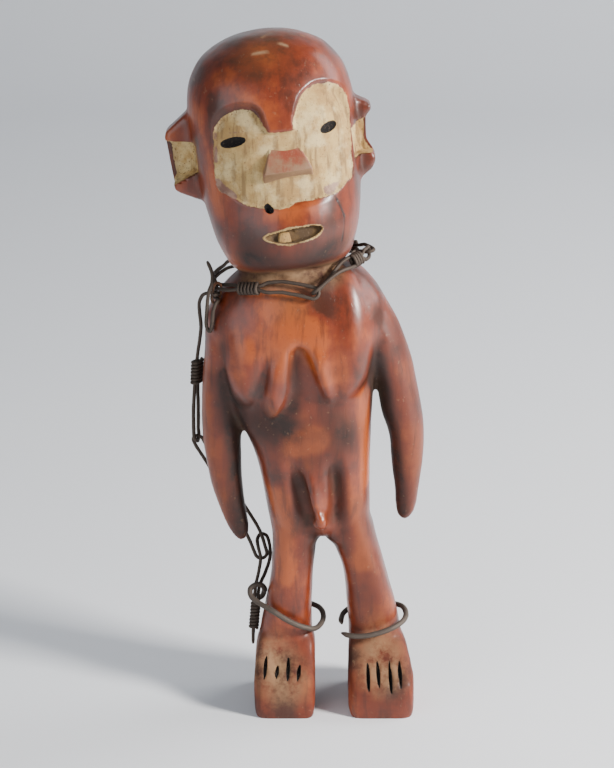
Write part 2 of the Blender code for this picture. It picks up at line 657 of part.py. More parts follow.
def carve_figure(home, tools):
    """The carved figure: fused masses, then the cuts of the knife."""
    units = Matrix.Scale(UNIT, 4)
    carver = TILT @ units
    lying = units @ Matrix(((1, 0, 0, 0), (0, 0, 1, 0), (0, 1, 0, 0), (0, 0, 0, 1)))
    head_axis = Matrix.Translation((HEAD_X, 0.0, 0.0))
    face = carver @ head_axis @ Matrix.Rotation(HEAD_TURN, 4, "Z")
    masses = [
        loft("head", HEAD_ROWS, HEAD_SQUARE, home, carver),
        loft("neck", NECK_ROWS, LIMB_SQUARE, home, carver),
        loft("trunk", TRUNK_ROWS, TRUNK_SQUARE, home, carver),
        loft("right_arm", RIGHT_ARM_ROWS, LIMB_SQUARE, home, carver),
        loft("left_arm", LEFT_ARM_ROWS, LIMB_SQUARE, home, carver),
        loft("right_leg", RIGHT_LEG_ROWS, LEG_SQUARE, home, carver),
        loft("left_leg", LEFT_LEG_ROWS, LEG_SQUARE, home, carver),
        lean_flank(
            loft("right_foot", RIGHT_FOOT_ROWS, FOOT_SQUARE, home, lying), -1.0, *RIGHT_FLANK),
        lean_flank(
            loft("left_foot", LEFT_FOOT_ROWS, FOOT_SQUARE, home, lying), 1.0, *LEFT_FLANK),
        prism("right_ear", RIGHT_EAR, EAR_FRONT, EAR_BACK, home, carver),
        prism("left_ear", LEFT_EAR, EAR_FRONT, EAR_BACK, home, carver),
    ]
    masses += [drop("mass", *shape, home, carver) for shape in BREASTS + CHEST_LOBES + LOINS]
    figure = joined("figure", masses, home)
    fuse = figure.modifiers.new("fuse", "REMESH")
    fuse.mode = "VOXEL"
    fuse.voxel_size = VOXEL
    baked(figure)
    under_chest = prism("under_chest", CHEST_EDGE, CUT_FRONT, CHEST_CUT_BACK, home, carver)
    belly = loft("belly", BELLY_ROWS, TRUNK_SQUARE, home, carver)
    boolean(under_chest, belly, "DIFFERENCE")
    hide_tool(belly, tools)
    boolean(figure, under_chest, "DIFFERENCE")
    hide_tool(under_chest, tools)
    soften = figure.modifiers.new("soften", "SMOOTH")
    soften.factor = 0.5
    soften.iterations = SOFTENING
    baked(figure)
    thin = figure.modifiers.new("thin", "DECIMATE")
    thin.ratio = BODY_TRIANGLES / sum(len(face.vertices) - 2 for face in figure.data.polygons)
    baked(figure)

    fields = prism("fields", FIELD_OUTLINE, CUT_FRONT, FIELDS_BACK, home, face)
    floor = loft("field_floor", FLOOR_ROWS, HEAD_SQUARE, home, carver)
    boolean(fields, floor, "DIFFERENCE")
    hide_tool(floor, tools)
    boolean(figure, fields, "DIFFERENCE")
    hide_tool(fields, tools)
    wedge = nose(home, face)
    boolean(figure, wedge, "UNION")
    hide_tool(wedge, tools)

    cuts = [drop("cut", *shape, home, carver) for shape in GROIN_CUTS]
    cuts += [
        prism("right_ear_hollow", RIGHT_EAR_HOLLOW, EAR_CUT_FRONT, EAR_PANEL, home, carver),
        prism("left_ear_hollow", LEFT_EAR_HOLLOW, EAR_CUT_FRONT, EAR_PANEL, home, carver),
        mouth_cutter(home, face),
    ]
    cuts += [drop("eye", *shape, home, face) for shape in EYES]
    for slots, rows in ((RIGHT_TOES, RIGHT_FOOT_ROWS), (LEFT_TOES, LEFT_FOOT_ROWS)):
        for start_x, start_z, end_x, end_z in slots:
            cuts.append(toe_cutter((start_x, start_z), (end_x, end_z), rows, home, units))
    for cut in cuts:
        boolean(figure, cut, "DIFFERENCE")
        hide_tool(cut, tools)

    ground = bmesh.new()
    bmesh.ops.create_cube(ground, size=1.0)
    bmesh.ops.scale(ground, vec=(HEIGHT, HEIGHT, HEIGHT), verts=ground.verts)
    bmesh.ops.translate(ground, vec=(0.0, 0.0, -HEIGHT / 2), verts=ground.verts)
    under = new_object("ground", ground, home)
    boolean(figure, under, "DIFFERENCE")
    hide_tool(under, tools)

    free_of_slivers(figure)
    return figure


def mouth_cutter(home, frame):
    """The mouth's hollow, less the block of teeth that stands in it."""
    front = table_at(HEAD_ROWS, MOUTH_OUTLINE[0][1])[2]
    hollow = prism("mouth", MOUTH_OUTLINE, CUT_FRONT, front + MOUTH_DEPTH, home, frame)
    left, right, low, high = TEETH
    block = ((left, low), (right, low), (right, high), (left, high))
    teeth = prism("teeth", block, front + TEETH_SUNK, 0.0, home, frame)
    boolean(hollow, teeth, "DIFFERENCE")
    bpy.data.objects.remove(teeth, do_unlink=True)
    return hollow


def toe_cutter(start, end, rows, home, frame):
    """One cut between two toes, which follows the foot's front and the slope of its instep."""
    cutter = leaf("toe", start, end, TOE_WIDTH, TOE_CUT_FRONT, -TOE_DEPTH, home, frame)
    front, instep = rows[0], rows[3]
    slope = (instep[0] - front[0]) / (instep[4] - front[4])
    for vert in cutter.data.vertices:
        if vert.co.y > UNIT * (TOE_CUT_FRONT - TOE_DEPTH) / 2:
            rise = max(0.0, vert.co.z / UNIT - front[4])
            vert.co.y = UNIT * (front[0] + rise * slope + TOE_DEPTH)
    return cutter


def curved(points, shares=ROUTE_SHARES):
    """Points along a smooth curve through a route's own points."""
    route = [Vector(point) for point in points]
    found = [route[0]]
    for index in range(len(route) - 1):
        low, high = route[index], route[index + 1]
        before = route[index - 1] if index else low * 2 - high
        after = route[index + 2] if index + 2 < len(route) else high * 2 - low
        for step in range(1, shares + 1):
            t = step / shares
            found.append(
                (low * 2 + (high - before) * t + (before * 2 - low * 5 + high * 4 - after) * t**2
                 + (low * 3 - before - high * 3 + after) * t**3) / 2
            )
    return found


def thinned(points, closed):
    """The same route with fewer points where it runs nearly straight."""
    kept = [points[0]]
    for index in range(1, len(points) - 1):
        turn = (points[index] - kept[-1]).angle(points[index + 1] - points[index])
        if turn > MITRE or (points[index + 1] - kept[-1]).length * UNIT > LONGEST_RUN:
            kept.append(points[index])
    if not closed or (points[-1] - kept[0]).length > (points[-1] - points[-2]).length / 2:
        kept.append(points[-1])
    return kept


def link_route(line, across, widths):
    """The closed route of a bent wire link: two legs between two round end bends."""
    middle = curved(line, LINE_SHARES)
    reached = [0.0]
    for low, high in zip(middle, middle[1:]):
        reached.append(reached[-1] + (high - low).length)
    length = reached[-1]

    def half(share):
        for (low, wide), (high, next_wide) in zip(widths, widths[1:]):
            if share <= high:
                t = (share - low) / (high - low)
                return wide + (next_wide - wide) * t * t * (3 - 2 * t)
        return widths[-1][1]

    def at(distance):
        index = next((k for k in range(1, len(reached)) if reached[k] >= distance), len(reached) - 1)
        t = (distance - reached[index - 1]) / (reached[index] - reached[index - 1])
        along = (middle[index] - middle[index - 1]).normalized()
        share = distance / length
        way = Vector(across[0]).lerp(Vector(across[1]), share)
        side = (way - along * way.dot(along)).normalized()
        wide = half(share)
        end = min(distance, length - distance)
        if end < wide:
            wide = math.sqrt(max(0.0, wide**2 - (wide - end)**2))
        return middle[index - 1].lerp(middle[index], t), side * wide

    first, last = half(0.0), half(1.0)
    bend = [1 - math.cos(math.pi / 2 * k / BEND_STEPS) for k in range(1, BEND_STEPS)]
    distances = [first * share for share in bend]
    distances += [first + (length - first - last) * k / LEG_STEPS for k in range(LEG_STEPS + 1)]
    distances += [length - last * share for share in reversed(bend)]
    stations = [at(distance) for distance in distances]
    start, end = at(0.0)[0], at(length)[0]
    return (
        [start] + [place + side for place, side in stations]
        + [end] + [place - side for place, side in reversed(stations)]
    )


def rod(name, points, width, closed, taper, home):
    """A round rod along points given in units of the carver's frame, as a closed mesh."""
    curve = bpy.data.curves.new(name, "CURVE")
    curve.dimensions = "3D"
    curve.bevel_depth = width / 2
    curve.bevel_resolution = ROD_FINENESS
    curve.use_fill_caps = not closed
    line = curve.splines.new("POLY")
    line.points.add(len(points) - 1)
    for point, place in zip(line.points, points):
        point.co = (*(TILT @ (place * UNIT)), 1.0)
    for end in ((0, 1, 2), (-1, -2, -3)):
        for rank, index in enumerate(end):
            line.points[index].radius = 1.0 - taper * (1.0 - rank / len(end))
    line.use_cyclic_u = closed
    flat = bpy.data.objects.new(name, curve)
    home.objects.link(flat)
    return meshed(flat, home, Matrix.Identity(4))


def coil(name, start, end, across, home):
    """The turns of wire wrapped round a link: a ridged sleeve between two points."""
    low, high = TILT @ (Vector(start) * UNIT), TILT @ (Vector(end) * UNIT)
    length = (high - low).length
    turns = max(2, round(length / COIL_RIDGE))
    depth = WIRE * COIL_DEPTH
    groove = depth - WIRE * COIL_GROOVE
    bm = bmesh.new()
    profile = [Vector((0.0, 0.0, 0.0)), Vector((groove, 0.0, 0.0))]
    for turn in range(turns):
        profile.append(Vector((depth, 0.0, length * (turn + 0.5) / turns)))
        profile.append(Vector((groove, 0.0, length * (turn + 1) / turns)))
    profile.append(Vector((0.0, 0.0, length)))
    verts = [bm.verts.new(point) for point in profile]
    edges = [bm.edges.new(pair) for pair in zip(verts, verts[1:])]
    bmesh.ops.spin(bm, geom=verts + edges, cent=(0.0, 0.0, 0.0), axis=(0.0, 0.0, 1.0),
                   angle=2 * math.pi, steps=WRAP_SIDES, use_merge=True)
    bmesh.ops.remove_doubles(bm, verts=bm.verts, dist=0.000001)
    bmesh.ops.recalc_face_normals(bm, faces=bm.faces)
    if across:
        bmesh.ops.scale(bm, vec=(COIL_HEIGHT / COIL_DEPTH, 1.0, 1.0), verts=bm.verts)
    along = (high - low).normalized()
    way = TILT.to_3x3() @ Vector(across or (1.0, 0.0, 0.0))
    high_way = (way - along * way.dot(along)).normalized()
    turned = Matrix((high_way, along.cross(high_way), along)).transposed().to_4x4()
    bmesh.ops.transform(bm, matrix=Matrix.Translation(low) @ turned, verts=bm.verts)
    return new_object(name, bm, home)


def add_coil(link, start, end, across, home, tools):
    """Joins a wrapped coil to its link."""
    sleeve = coil(link.name + "_coil", start, end, across, home)
    boolean(link, sleeve, "UNION")
    hide_tool(sleeve, tools)
    free_of_slivers(link)


def make_link(name, home, tools):
    """One closed link, with its coil where it has one."""
    line, across, widths, wrapped = LINKS[name]
    route = link_route(line, across, widths)
    link = rod(name, thinned(route, True), WIRE, True, 0.0, home)
    if wrapped:
        add_coil(link, *wrapped, coil_across(line, across, wrapped), home, tools)
    return link


def coil_across(line, across, wrapped):
    """The way a link's two legs lie apart in the middle of its coil."""
    middle = (Vector(wrapped[0]) + Vector(wrapped[1])) / 2
    start, end = Vector(line[0]), Vector(line[-1])
    share = (middle - start).length / ((middle - start).length + (end - middle).length)
    return Vector(across[0]).lerp(Vector(across[1]), share)


def make_chain(home, tools):
    """The chain from the neck down to the ankle."""
    links = [make_link(name, home, tools) for name in LINKS]
    ring = link_route(RING_LINE, RING_ACROSS, ((0.0, RING_HALF), (1.0, RING_HALF)))
    links.append(rod("joining_ring", thinned(ring, True), RING_WIRE, True, 0.0, home))
    links.append(rod("hook_link", thinned(curved(HOOK_ROUTE), False), WIRE, False, 0.0, home))
    shoulder = rod("shoulder_link", thinned(curved(SHOULDER_ROUTE), False), WIRE, False, 0.0, home)
    add_coil(shoulder, *SHOULDER_COIL, SHOULDER_ACROSS, home, tools)
    links.append(shoulder)
    ankle = rod("ankle_link", thinned(curved(ANKLE_ROUTE), False), WIRE, False, 0.0, home)
    add_coil(ankle, *ANKLE_COIL, None, home, tools)
    links.append(ankle)
    return links


def make_anklets(home):
    """The two open iron rings round the ankles."""
    routes = {"anklet_right": ANKLET_RIGHT_ROUTE, "anklet_left": ANKLET_LEFT_ROUTE}
    return [rod(name, thinned(curved(route, ANKLET_SHARES), False), ANKLET_ROD, False, TAPER, home)
            for name, route in routes.items()]


def stand_at_origin(objects):
    """Moves the meshes so that the middle of the bottom of their box lies at the origin."""
    corners = [vert.co for obj in objects for vert in obj.data.vertices]
    low = Vector(map(min, zip(*corners)))
    high = Vector(map(max, zip(*corners)))
    shift = Matrix.Translation(-Vector(((low.x + high.x) / 2, (low.y + high.y) / 2, low.z)))
    for obj in objects:
        obj.data.transform(shift)


def main():
    reset_scene()
    parts = collection("carved_figure")
    tools = collection("construction", hidden=True)
    figure = carve_figure(parts, tools)
    chain = make_chain(parts, tools)
    anklets = make_anklets(parts)
    figure.data.materials.append(material("polished_wood", *WOOD_FINISH))
    for link in chain:
        link.data.materials.append(material(link.name + "_iron", *CHAIN_FINISH))
    for ring in anklets:
        ring.data.materials.append(material(ring.name + "_iron", *ANKLET_FINISH))
    stand_at_origin([figure] + chain + anklets)


if __name__ == "__main__":
    main()
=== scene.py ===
"""Dresses the carved wooden figure.

The wood is one finely meshed carving with its knife cuts, kaolin fields and wear; the iron
is bent wire with real wrapped turns. Lengths in the tables are in units of the height / 375,
in the carver's frame, which leans back against the upright world by LEAN.
"""

import logging
import math
from dataclasses import dataclass
from enum import Enum

import bmesh
import bpy
import numpy as np
from bpy.types import Material, Node, NodeSocket, NodeTree, Object
from mathutils import Matrix, Vector
from mathutils.bvhtree import BVHTree


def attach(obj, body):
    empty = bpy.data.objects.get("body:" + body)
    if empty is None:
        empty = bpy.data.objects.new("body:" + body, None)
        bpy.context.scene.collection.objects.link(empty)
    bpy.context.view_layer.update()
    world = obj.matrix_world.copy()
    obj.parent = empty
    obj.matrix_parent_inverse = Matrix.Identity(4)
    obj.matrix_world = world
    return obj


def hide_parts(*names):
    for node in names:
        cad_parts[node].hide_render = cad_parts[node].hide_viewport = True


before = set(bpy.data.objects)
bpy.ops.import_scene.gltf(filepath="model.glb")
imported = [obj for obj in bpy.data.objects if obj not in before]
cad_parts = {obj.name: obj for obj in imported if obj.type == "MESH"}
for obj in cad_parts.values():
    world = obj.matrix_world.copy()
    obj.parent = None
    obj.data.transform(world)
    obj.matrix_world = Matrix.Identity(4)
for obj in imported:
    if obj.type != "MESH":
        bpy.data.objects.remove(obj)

log = logging.getLogger("carved_figure")
logging.basicConfig(level=logging.INFO, format="%(name)s: %(message)s")

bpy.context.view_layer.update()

HEIGHT = 0.375
UNIT = HEIGHT / 375
LEAN = math.radians(7.5)
HEAD_TURN = math.radians(7.5)
HEAD_X = 10.5
# Where the frame's origin lies in the carver's upright world, in units
FEET_MIDDLE = (-20.3065, -0.2154, 0.0)
TILT = Matrix.Rotation(-LEAN, 4, "Y")
SET_DOWN = Matrix.Translation(-Vector(FEET_MIDDLE) * UNIT)
UNITS = SET_DOWN @ Matrix.Scale(UNIT, 4)
CARVER = SET_DOWN @ TILT @ Matrix.Scale(UNIT, 4)
LYING = UNITS @ Matrix(((1, 0, 0, 0), (0, 0, 1, 0), (0, 1, 0, 0), (0, 0, 0, 1)))
FACE = CARVER @ Matrix.Translation((HEAD_X, 0.0, 0.0)) @ Matrix.Rotation(HEAD_TURN, 4, "Z")
WIRE = 2.0
RING_WIRE = 1.6
ANKLET_ROD = 3.0

Row = tuple[float, ...]
Rows = tuple[Row, ...]
Point = tuple[float, float, float]

HEAD_ROWS = (
    (247, -6.5, 27.5, -12, 12), (250, -14.6, 35.6, -15.5, 18), (253, -18.4, 39.4, -20, 20.5),
    (255.5, -20.2, 41.2, -26.5, 22), (258.5, -21.6, 42.8, -34, 24), (262, -23, 44.2, -38, 26),
    (268, -25.3, 46.5, -41, 28.5), (276, -27.6, 48.8, -42.2, 32), (285, -29.4, 50.5, -41.4, 35),
    (294, -30.7, 51.7, -40.2, 38), (313, -32.2, 53.1, -39.6, 42), (332, -32.8, 53.6, -40, 43.5),
    (341.5, -32.4, 53, -39.2, 43), (349, -31.2, 51.5, -37.2, 41), (355.5, -29.2, 49.1, -34, 38),
    (362, -25.2, 44.9, -29.5, 34), (366.6, -20.8, 40.3, -24.5, 30), (372.2, -9.8, 29.5, -15, 21),
    (374.6, -1, 21, -8, 13), (375.4, 6, 14.5, -3, 7),
)
# Outline of the two fields in the turned head's own frame: across, height
FIELD_OUTLINE = (
    (-35.3, 310), (-34.8, 325), (-33.2, 338), (-28.8, 343.8), (-20.7, 347.2), (-13, 346.6), (-8.6, 343), (-7, 337),
    (-6.4, 332), (-5.6, 330.9), (0, 330.6), (5.2, 330.2), (6, 331.2), (6.2, 337), (10.6, 346.6), (17.8, 351.2),
    (24.2, 351.8), (31.8, 348.9), (37, 343.2), (38, 335), (36.9, 322), (35.3, 300.6), (30.3, 297), (24.9, 294.4),
    (15.9, 293.4), (5.3, 292.6), (-8.6, 291.8), (-22.6, 294.6), (-30.9, 300), (-34.6, 302.6),
)
# Nose wedge: half-width, forward and height of its top edge, lower front edge and foot
NOSE_ACROSS = 0.3
NOSE_TOP = (6.8, 36.8, 323.6)
NOSE_TIP = (12.3, 42.6, 310.4)
NOSE_FOOT = (12.8, 36.4, 304.6)
NOSE_ROOT = 24.0
NECK_ROWS = (
    (236, -13, 31, -20, 21), (262, -13, 31, -20, 21),
)
# Trunk and limbs: height, left, right, front, back
TRUNK_ROWS = (
    (101, -20.6, 33.6, -11.5, 19), (104, -20.8, 33.6, -15, 22.5), (109, -20.8, 33.8, -18, 24.5),
    (117, -21.1, 34.8, -20.5, 24.6), (126, -21.4, 35.8, -22, 22.6), (136, -21.8, 37, -23, 20.4),
    (150, -23.1, 39.2, -23.5, 20), (160, -25.6, 40.7, -24, 21), (170, -28.5, 42.4, -26, 22),
    (181, -31.3, 44.5, -29, 23), (190, -33.5, 46, -30.2, 25), (200, -35, 50, -30.6, 25.5), (215, -38, 56, -30.4, 26),
    (229, -38.9, 55.5, -28.5, 26), (237, -34.8, 51.7, -25.5, 25), (243, -29.5, 47.5, -22.5, 24),
    (250, -20, 37.5, -19, 21), (253, -13, 31, -16, 18),
)
# The belly behind the chest's lower edge
BELLY_ROWS = (
    (150, -23.1, 39.2, -23.5, 20), (170, -28.5, 42.4, -24, 22), (190, -33.5, 46, -24.4, 25), (215, -38, 56, -25, 26),
    (230, -38.9, 55.5, -25, 26),
)
RIGHT_ARM_ROWS = (
    (101, -39, -36, -2.5, 2), (104, -41.2, -33.6, -4.5, 4), (110, -44, -32.8, -6, 5.5), (120, -46.4, -33, -8, 7.5),
    (135, -49.2, -32.5, -10, 10), (150, -50.4, -31, -11.5, 12), (163, -50.1, -29.3, -12.5, 13.5),
    (181, -48, -28, -13.5, 15), (198, -44.9, -26, -15, 16), (213, -41.7, -20, -17, 17), (226, -39.6, -12, -17, 18),
    (232, -37, -11, -14, 17), (240, -30, -12, -10, 14),
)
LEFT_ARM_ROWS = (
    (101.5, 50.8, 53.4, -2, 1.5), (103.5, 49, 55.6, -3.5, 3), (108, 47.9, 58.4, -5.5, 5), (120, 48.4, 61.8, -8, 7.5),
    (138, 48.7, 66.1, -10, 10), (152, 49, 68.2, -11.5, 12), (165, 46.8, 68.3, -12.5, 13.5),
    (183, 45.5, 67.1, -13.5, 15), (193, 42, 66.1, -15, 16), (211, 35, 62.4, -17, 17), (230, 25, 55.3, -17, 18),
    (237, 26, 51.7, -14, 17), (244, 28, 46.5, -10, 14),
)
RIGHT_LEG_ROWS = (
    (33, -38.6, -7, -10, 17), (42, -36.3, -6.6, -10.5, 16.5), (56, -32.3, -5.2, -12, 16),
    (66, -28.6, -3.5, -12.5, 16), (80, -24.5, -1.1, -13, 16.5), (90, -22.6, 1.5, -13, 18),
    (95.5, -21.6, 3, -13.5, 20), (101, -20.9, 7, -14, 21), (114, -19.5, 5.5, -14, 18),
)
LEFT_LEG_ROWS = (
    (33, 12.5, 42, -10, 17), (45, 13.7, 41.5, -10.5, 16.5), (55.5, 14.4, 40.6, -12, 16), (66, 15, 39, -12.5, 16),
    (80, 14.6, 37.1, -13, 16.5), (89.5, 12.6, 35.6, -13, 18), (94.5, 10.9, 35, -13.5, 20), (99, 7, 34.6, -14, 21),
    (114, 8, 32, -14, 18),
)
# Feet, upright: forward place, left, right, below, above
RIGHT_FOOT_ROWS = (
    (-26, -39.6, -14, -2, 21.5), (-24.5, -42.4, -11.6, -2, 23.6), (-19, -43.8, -10.6, -2, 29.5),
    (-9, -43.9, -10.4, -2, 41.5), (6, -43.6, -10.4, -2, 42), (17, -42.6, -11.2, -2, 33), (24, -40, -13.6, -2, 25),
    (26, -36, -17, -2, 18),
)
LEFT_FOOT_ROWS = (
    (-26, 12.2, 38, -2, 17), (-24.5, 9.6, 42, -2, 19.4), (-19, 8, 43.6, -2, 26), (-9, 7.7, 43.9, -2, 40),
    (6, 8, 43.4, -2, 41), (17, 9, 42.6, -2, 33), (24, 11.5, 40, -2, 25), (26, 15, 36, -2, 18),
)
# Above this height each foot's outer flank leans in by this slope
RIGHT_FLANK = (22, 0.08)
LEFT_FLANK = (18, 0.24)
# Carved masses, tapering to a point: top, tip, widest half-width and half-depth
BREASTS = (
    ((-1, -20.5, 232), (-11, -25.5, 172), 8, 9.4),
    ((13.5, -20.5, 232), (19, -25.5, 175), 8, 9.4),
)
CHEST_LOBES = (
    ((-13, -9, 250), (-22, -20, 180), 14, 13.6),
    ((36, -9.5, 250), (29, -21, 178), 15, 13.6),
)
LOINS = (
    ((2, -19.5, 148), (6, -22, 114), 4.6, 5),
    ((6, -22, 120), (7.6, -23.5, 109.5), 4.6, 4.6),
)
# Mouth, eyes and toes: slots cut as long leaves
MOUTH_OUTLINE = (
    (-15.9, 277.8), (-8.5, 279.9), (2, 281), (10.5, 280.6), (13.6, 278.4), (8, 275), (-2, 273.6), (-10.5, 274.8),
)
MOUTH_DEPTH = 3.2
TEETH = (-9, -3, 273, 279.4)
TEETH_SUNK = 1.0
EYES = (((-30.6, 325.9), (-18.2, 328.3)), ((19.8, 326.8), (29, 328.3)))
EYE_HALF_HEIGHT = 1.45
EYE_DEPTH = 2.6
RIGHT_TOES = (
    (-37.1, 33.3, -38.5, 22.4), (-30.9, 29, -31.9, 23), (-25.1, 32.7, -25.7, 21.6), (-18.8, 29.3, -20.4, 21.8),
)
LEFT_TOES = (
    (18.1, 29.3, 18.8, 15.4), (23.3, 30.3, 24.5, 17.4), (29.8, 30.3, 31.1, 14.4), (35.3, 30.3, 36.3, 17.4),
)
# Ears: outline across and height, then the hollow's corners, in the carver's frame
RIGHT_EAR = (
    (-28, 341), (-33.5, 338.6), (-45.6, 330.2), (-46.2, 327.5), (-44.9, 299.6), (-43.4, 298.2), (-34, 293.2),
    (-28, 291),
)
RIGHT_EAR_HOLLOW = (
    (-60, 326.6), (-60, 301.6), (-44.6, 302.6), (-31, 308.2), (-30, 323), (-45.9, 326),
)
LEFT_EAR = (
    (49, 337), (54.6, 335.3), (61.4, 331.6), (61.6, 328.4), (58.4, 326), (56.8, 312), (60.4, 305.6), (60.8, 301.6),
    (58.1, 297.4), (51.9, 293.6), (49, 292.6),
)
LEFT_EAR_HOLLOW = (
    (70, 325), (58.8, 325.4), (50, 322.6), (50, 306.6), (59.8, 306.4), (70, 306.4),
)
# Half the distance between a link's two legs: at its eyes, along an open loop and under its coil
EYE_HALF = 2.7
LOOP_HALF = 3.0
WAIST_HALF = 1.06
# Each link: the middle line from one end bend to the other, the way its two legs lie apart at the
# start and at the end, half the distance between them along it, and the part its coil covers
LINKS = {
    "neck_link_front_left": (
        ((-32.3, -6.2, 246.9), (-28.2, -9.9, 246.8), (-19.2, -18.9, 247.2), (-12.8, -22.2, 247.2),
         (-6, -23.9, 247), (3, -24.8, 246.7), (9.6, -25.6, 245.2), (15.4, -26.3, 243.4),
         (22.6, -27.1, 240.7)),
        ((0.67, 0.74, 0), (0, 0.42, 0.9)),
        ((0, EYE_HALF), (0.22, EYE_HALF), (0.3, WAIST_HALF), (0.48, WAIST_HALF), (0.58, LOOP_HALF),
         (1, LOOP_HALF)),
        ((-19.2, -18.9, 247.2), (-7, -23.8, 247)),
    ),
    "neck_link_front_right": (
        ((20, -27.1, 241.8), (23, -26, 243.1), (30.6, -22.2, 248.2), (36, -18.1, 250.8),
         (41.2, -13, 251.9), (46.6, -5.7, 252), (50, 0.4, 252), (51, 5.4, 252)),
        ((0, 0.9, -0.42), (0, 0, 1)),
        ((0, EYE_HALF), (0.6, EYE_HALF), (0.66, WAIST_HALF), (0.78, WAIST_HALF), (0.84, EYE_HALF),
         (1, EYE_HALF)),
        ((41.2, -12.9, 251.9), (46.4, -5.9, 252)),
    ),
    "neck_link_back_right": (
        ((50.6, 2.9, 252), (50.4, 7.4, 251.9), (45.4, 17, 251.6), (36.4, 25.4, 251.3),
         (30.2, 27.8, 251.1), (25.6, 28.4, 251)),
        ((1, 0, 0), (0, 0.2, 1)),
        ((0, EYE_HALF), (0.3, EYE_HALF), (0.42, WAIST_HALF), (0.6, WAIST_HALF), (0.72, EYE_HALF),
         (1, EYE_HALF)),
        ((44, 18.6, 251.6), (37.6, 24.5, 251.3)),
    ),
    "neck_link_back": (
        ((28.1, 28.1, 251), (23.5, 28.7, 251), (6, 30, 250.8), (-8.4, 29.2, 250.6),
         (-13.4, 28.2, 250.5)),
        ((0, 1, 0), (0, 0.2, 1)),
        ((0, EYE_HALF), (0.2, EYE_HALF), (0.34, WAIST_HALF), (0.62, WAIST_HALF), (0.76, EYE_HALF),
         (1, EYE_HALF)),
        ((13, 29.7, 250.9), (1, 30, 250.8)),
    ),
    "neck_link_back_left": (
        ((-10.8, 28.8, 250.5), (-14.4, 28, 250.4), (-18.6, 26.4, 250.1), (-26, 20.4, 249.2),
         (-32, 9.6, 247.8), (-32.2, -1.4, 246.9), (-30.5, -7.8, 246.9)),
        ((0.2, 1, 0), (0, 0, 1)),
        ((0, EYE_HALF), (0.25, EYE_HALF), (0.4, WAIST_HALF), (0.6, WAIST_HALF), (0.75, EYE_HALF),
         (1, EYE_HALF)),
        None,
    ),
    "arm_link": (
        ((-54.5, 9.6, 160.2), (-52.8, 10.4, 154), (-49.2, 12.2, 145), (-40, 14.4, 121),
         (-32.2, 13.2, 100), (-29.6, 12, 89), (-28.6, 11.6, 84)),
        ((0.94, -0.35, 0), (0.94, 0.1, 0.3)),
        ((0, LOOP_HALF), (0.6, LOOP_HALF), (0.8, 3.7), (1, 3.2)),
        None,
    ),
}
RING_LINE = ((-29.4, -11, 249.3), (-30, -11.6, 246.8), (-31.5, -13.2, 241.9), (-32.6, -14.4, 239.8))
RING_ACROSS = ((0.75, 0.66, 0), (0.75, 0.66, 0))
RING_HALF = 2.6
# Routes of the pieces that aren't plain loops, in the carver's frame
HOOK_ROUTE = (
    (-33, -13, 262.2), (-31.3, -14, 255.7), (-32, -15.6, 250.7), (-34.4, -16.8, 246.1), (-37, -16.4, 235.4),
    (-38.2, -15.6, 228.6), (-36.9, -16, 224.9), (-35.2, -16.8, 228.6), (-33.4, -17.6, 236), (-31.8, -17.3, 239.4),
    (-30.2, -15.5, 241.6), (-31.2, -13.1, 242), (-32.5, -11, 241.9),
)
SHOULDER_ROUTE = (
    (-32.4, -16.6, 244.4), (-30.2, -15.5, 244.3), (-29.5, -13.8, 244.3), (-30.6, -12.2, 244.3), (-32.4, -10.8, 244.3),
    (-35.4, -9.2, 244), (-38.4, -7, 242.6), (-41, -4, 238), (-41.9, -1, 231), (-42.4, 1.6, 223.6), (-44.4, 4, 215.4),
    (-47.3, 6, 205.3), (-50.8, 6.8, 190.4), (-53.6, 6.4, 176), (-55.3, 6.3, 163.4), (-55.2, 6.8, 159.6),
    (-54.2, 9.8, 157.1), (-53.3, 12.8, 159.8), (-53.1, 12.9, 163.4), (-51.4, 11.4, 175), (-49.6, 9.6, 188.6),
    (-48.4, 8.4, 195),
)
SHOULDER_COIL = ((-47.3, 6.4, 204.6), (-50.1, 8.1, 189.4))
SHOULDER_ACROSS = (0.6, 0.8, 0)
ANKLE_ROUTE = (
    (-40.3, 3, 37.6), (-39.3, 3, 44.4), (-38, 2.9, 51), (-36.4, 2.6, 61.5), (-35.3, 2.9, 67), (-34.2, 3.8, 71.6),
    (-31.4, 6.4, 79), (-29.6, 8, 85.5), (-30, 9, 90.6), (-30.3, 12.8, 94.6), (-28.2, 16, 96.6), (-25, 16.4, 94.6),
    (-24.1, 14.9, 88), (-25.2, 13.2, 82), (-28.2, 9.4, 76.4), (-31.7, 5.8, 71.4), (-33.3, 4.5, 67), (-34.3, 3.8, 61),
)
ANKLE_COIL = ((-35.2, 3.1, 63), (-39, 3, 45.8))
ANKLET_RIGHT_ROUTE = (
    (-34.6, 8.2, 60.8), (-31.7, 8, 63.2), (-30.2, 6.4, 66.4), (-29.6, 3.4, 69), (-30.4, 0.8, 72.2),
    (-33.4, -0.8, 73.9), (-36.9, -2, 72.2), (-36.8, -4.6, 68.7), (-33, -8.2, 66), (-28.2, -12.2, 63.9),
    (-23.7, -15.1, 61.3), (-17.1, -16.2, 56.1), (-10, -15.1, 51.4), (-4.6, -10.6, 48), (-1.2, -3, 47.2),
    (0.4, 4, 48.4), (-0.9, 11, 50.1), (-5.6, 17, 51), (-12.2, 20, 52.4), (-19.7, 20, 55), (-25, 18.6, 57.2),
)
ANKLET_LEFT_ROUTE = (
    (9.6, -9.4, 42.9), (14.1, -12.6, 42.1), (19.5, -14.2, 41.7), (27.7, -15, 42.2), (37.5, -13.4, 43.8),
    (43.4, -8, 44.7), (45.8, -1, 45.3), (45, 7, 46.3), (41.4, 13.6, 46), (34.2, 19, 45.6), (26.4, 20.4, 45.6),
    (18, 17.8, 46.2), (12.2, 11, 46.6), (10, 3, 46), (10.2, -2.6, 45.4),
)
# How many steps each stretch of a route is cut into
LINE_SHARES = 8
